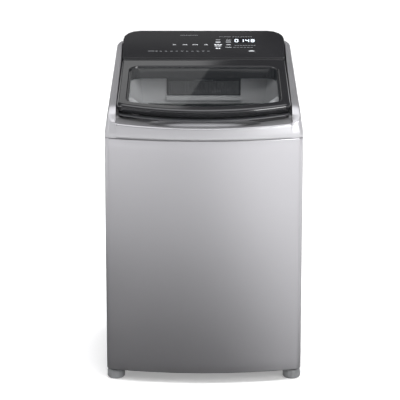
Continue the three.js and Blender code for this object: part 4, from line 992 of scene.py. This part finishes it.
def makeStudio():
    # a flat floor that curls up a little at the back: z = 0, then a quarter circle
    s = studio
    count = 24
    turn = np.linspace(0, math.pi / 2, count)[1:]
    flat = np.linspace(s["floorFront"], s["floorRear"], count)
    y = np.concatenate([flat, s["floorRear"] + s["curl"] * np.sin(turn)])
    z = np.concatenate([np.zeros(count), s["curl"] - s["curl"] * np.cos(turn)])
    x = np.linspace(-s["floorHalf"], s["floorHalf"], 5)
    grid = np.stack(np.broadcast_arrays(x[None], y[:, None], z[:, None]), axis=-1)
    mesh = bpy.data.meshes.new("studioFloor")
    faces = quadsOf(*grid.shape[:2], False, False)[:, ::-1]
    mesh.from_pydata(grid.reshape(-1, 3).tolist(), [], faces.tolist())
    mesh.shade_smooth()
    paper = makeFinish("paperSweep", (0.86, 0.86, 0.86), 0.85, spread=0.01, bump=0.0, patch=1.5)
    mesh.materials.append(lightUp(paper, (1.0, 1.0, 1.0), s["paperGlow"]))
    floor = bpy.data.objects.new("studioFloor", mesh)
    scene.collection.objects.link(floor)


def makeCamera():
    s = studio
    data = bpy.data.cameras.new("camera")
    data.lens = s["lens"]
    data.sensor_width = 36.0
    camera = bpy.data.objects.new("camera", data)
    camera.location = (s["cameraX"], -s["cameraBack"], s["cameraHeight"])
    camera.rotation_euler = (math.radians(90 - s["tilt"]), 0.0, 0.0)
    scene.collection.objects.link(camera)
    scene.camera = camera


def makeWorld():
    # bright at the horizon, dim where the tilted gloss panels look, brighter again overhead
    s = studio
    world = bpy.data.worlds.new("world")
    world.use_nodes = True
    tree = world.node_tree
    direction = tree.nodes.new("ShaderNodeTexCoord").outputs["Generated"]
    split = addNode(tree, "SeparateXYZ", {"Vector": direction})
    rise = addNode(tree, "MapRange", {"Value": split.outputs["Z"], "From Min": -1.0, "From Max": 1.0})
    ramp = addNode(tree, "ValToRGB", {"Fac": rise.outputs["Result"]})
    stops = [(0.30, s["low"]), (0.48, s["horizon"]), (0.56, s["horizon"]), (0.66, s["high"]),
             (0.915, s["high"]), (0.96, s["zenith"])]
    while len(ramp.color_ramp.elements) < len(stops):
        ramp.color_ramp.elements.new(0.5)
    for element, (position, tone) in zip(ramp.color_ramp.elements, stops):
        element.position = position
        element.color = (tone, tone, tone * 1.02, 1.0)
    tree.links.new(ramp.outputs["Color"], tree.nodes["Background"].inputs["Color"])
    scene.world = world


def addCard(name, grid):
    # a glowing sheet that only reflections see; gives back its node tree and the socket of its strength
    mesh = bpy.data.meshes.new(name)
    mesh.from_pydata(grid.reshape(-1, 3).tolist(), [], quadsOf(*grid.shape[:2], False, False).tolist())
    material = bpy.data.materials.new(name)
    material.use_nodes = True
    shader = material.node_tree.nodes["Principled BSDF"]
    shader.inputs["Base Color"].default_value = (0.0, 0.0, 0.0, 1.0)
    shader.inputs["Emission Color"].default_value = (1.0, 1.0, 1.0, 1.0)
    mesh.materials.append(material)
    card = bpy.data.objects.new(name, mesh)
    scene.collection.objects.link(card)
    card.visible_camera = card.visible_diffuse = card.visible_shadow = card.visible_transmission = False
    return material.node_tree, shader.inputs["Emission Strength"]


def makeReflectorCard():
    # lies just over the floor: dark next to the machine, lighter away from it and to the right
    c = cards
    x, y = np.meshgrid(*np.linspace(c["low"], c["high"], 9).T, indexing="ij")
    tree, strength = addCard("reflectorCard", np.stack([x, y, np.full_like(x, c["lift"])], axis=-1))
    calc = calcIn(tree)
    at = addNode(tree, "SeparateXYZ", {"Vector": objectPlace(tree)}).outputs
    acrossX, alongY = at["X"], at["Y"]

    def ramp(value, start, run):
        # 0 before the start, then a straight rise to 1, with its foot softened
        share = calc("MULTIPLY", calc("SUBTRACT", value, start), 1 / run)
        return calc("SMOOTH_MAX", calc("MINIMUM", share, 1.0), 0.0, 0.1)

    ahead = calc("SUBTRACT", -c["front"], alongY)
    beside = calc("SUBTRACT", calc("ABSOLUTE", acrossX), c["side"])
    reach = calc("MAXIMUM", calc("MULTIPLY", calc("MAXIMUM", ahead, beside), 1 / c["reach"]), 0.0)
    away = calc("POWER", calc("MINIMUM", reach, 1.2), c["fall"])
    rightward = calc("ADD", c["right"], calc("MULTIPLY", away, 0.2))
    toRight = calc("MULTIPLY", ramp(acrossX, 0.1, 1.0), rightward)
    leftward = calc("MULTIPLY", away, c["left"])
    toLeft = calc("MULTIPLY", ramp(calc("MULTIPLY", acrossX, -1.0), 0.9, 0.8), leftward)
    tone = calc("ADD", calc("MULTIPLY", away, c["far"]), c["near"])
    tone = calc("ADD", tone, calc("ADD", toRight, toLeft))
    tree.links.new(tone, strength)


def makeGlareCard(name, rightEdge, leftX, strength):
    # stands far behind the machine; its right edge follows (x, z) points
    edge = np.asarray(rightEdge, float)
    share = np.linspace(0.0, 1.0, 9)[None]
    x = leftX * (1 - share) + edge[:, 0:1] * share
    z = np.broadcast_to(edge[:, 1:2], x.shape)
    tree, socket = addCard(name, np.stack([x, np.full_like(x, cards["glareY"]), z], axis=-1))
    socket.default_value = strength


def addLamp(name, place, target, size, power, glossy=True):
    # a soft rectangular lamp aimed at a point
    data = bpy.data.lights.new(name, "AREA")
    data.shape = "RECTANGLE"
    data.size, data.size_y = size
    data.energy = power
    lamp = bpy.data.objects.new(name, data)
    lamp.location = place
    lamp.visible_glossy = glossy
    direction = np.array(target) - np.array(place)
    yaw = math.atan2(direction[1], direction[0]) - math.pi / 2
    pitch = math.atan2(direction[2], math.hypot(direction[0], direction[1]))
    lamp.rotation_euler = (math.pi / 2 + pitch, 0.0, yaw)
    scene.collection.objects.link(lamp)


makeStudio()
makeCamera()
makeWorld()
makeGlareCard("lidGlare", [(0.19, 2.83), (0.112, 2.958), (0.015, 3.111), (-0.083, 3.274), (-0.17, 3.42)],
              -1.6, cards["lidGlare"])
makeGlareCard("panelGlare", [(0.37, 4.57), (0.362, 4.681), (0.351, 4.736), (0.316, 4.79), (0.232, 4.836),
                             (0.122, 4.864), (-0.09, 4.89)], -0.75, cards["panelGlare"])
makeReflectorCard()
addLamp("keyLamp", (2.6, -3.4, 2.3), (0.1, -0.3, 0.75), (1.6, 1.4), 95.0)
addLamp("topLamp", (0.4, -1.3, 2.6), (0.0, -0.3, 0.8), (1.8, 0.9), 48.0, glossy=False)
addLamp("leftLamp", (-3.2, -1.6, 2.2), (-0.2, -0.2, 0.9), (1.4, 1.2), 24.0)
addLamp("backLamp", (0.6, 4.0, 3.6), (0.0, 0.0, 0.6), (3.0, 1.0), 40.0, glossy=False)
addLamp("floorLamp", (0.0, 2.6, 4.5), (0.0, 1.8, 0.0), (4.0, 3.0), 130.0, glossy=False)
scene.view_settings.view_transform = "Standard"
print("studio made")
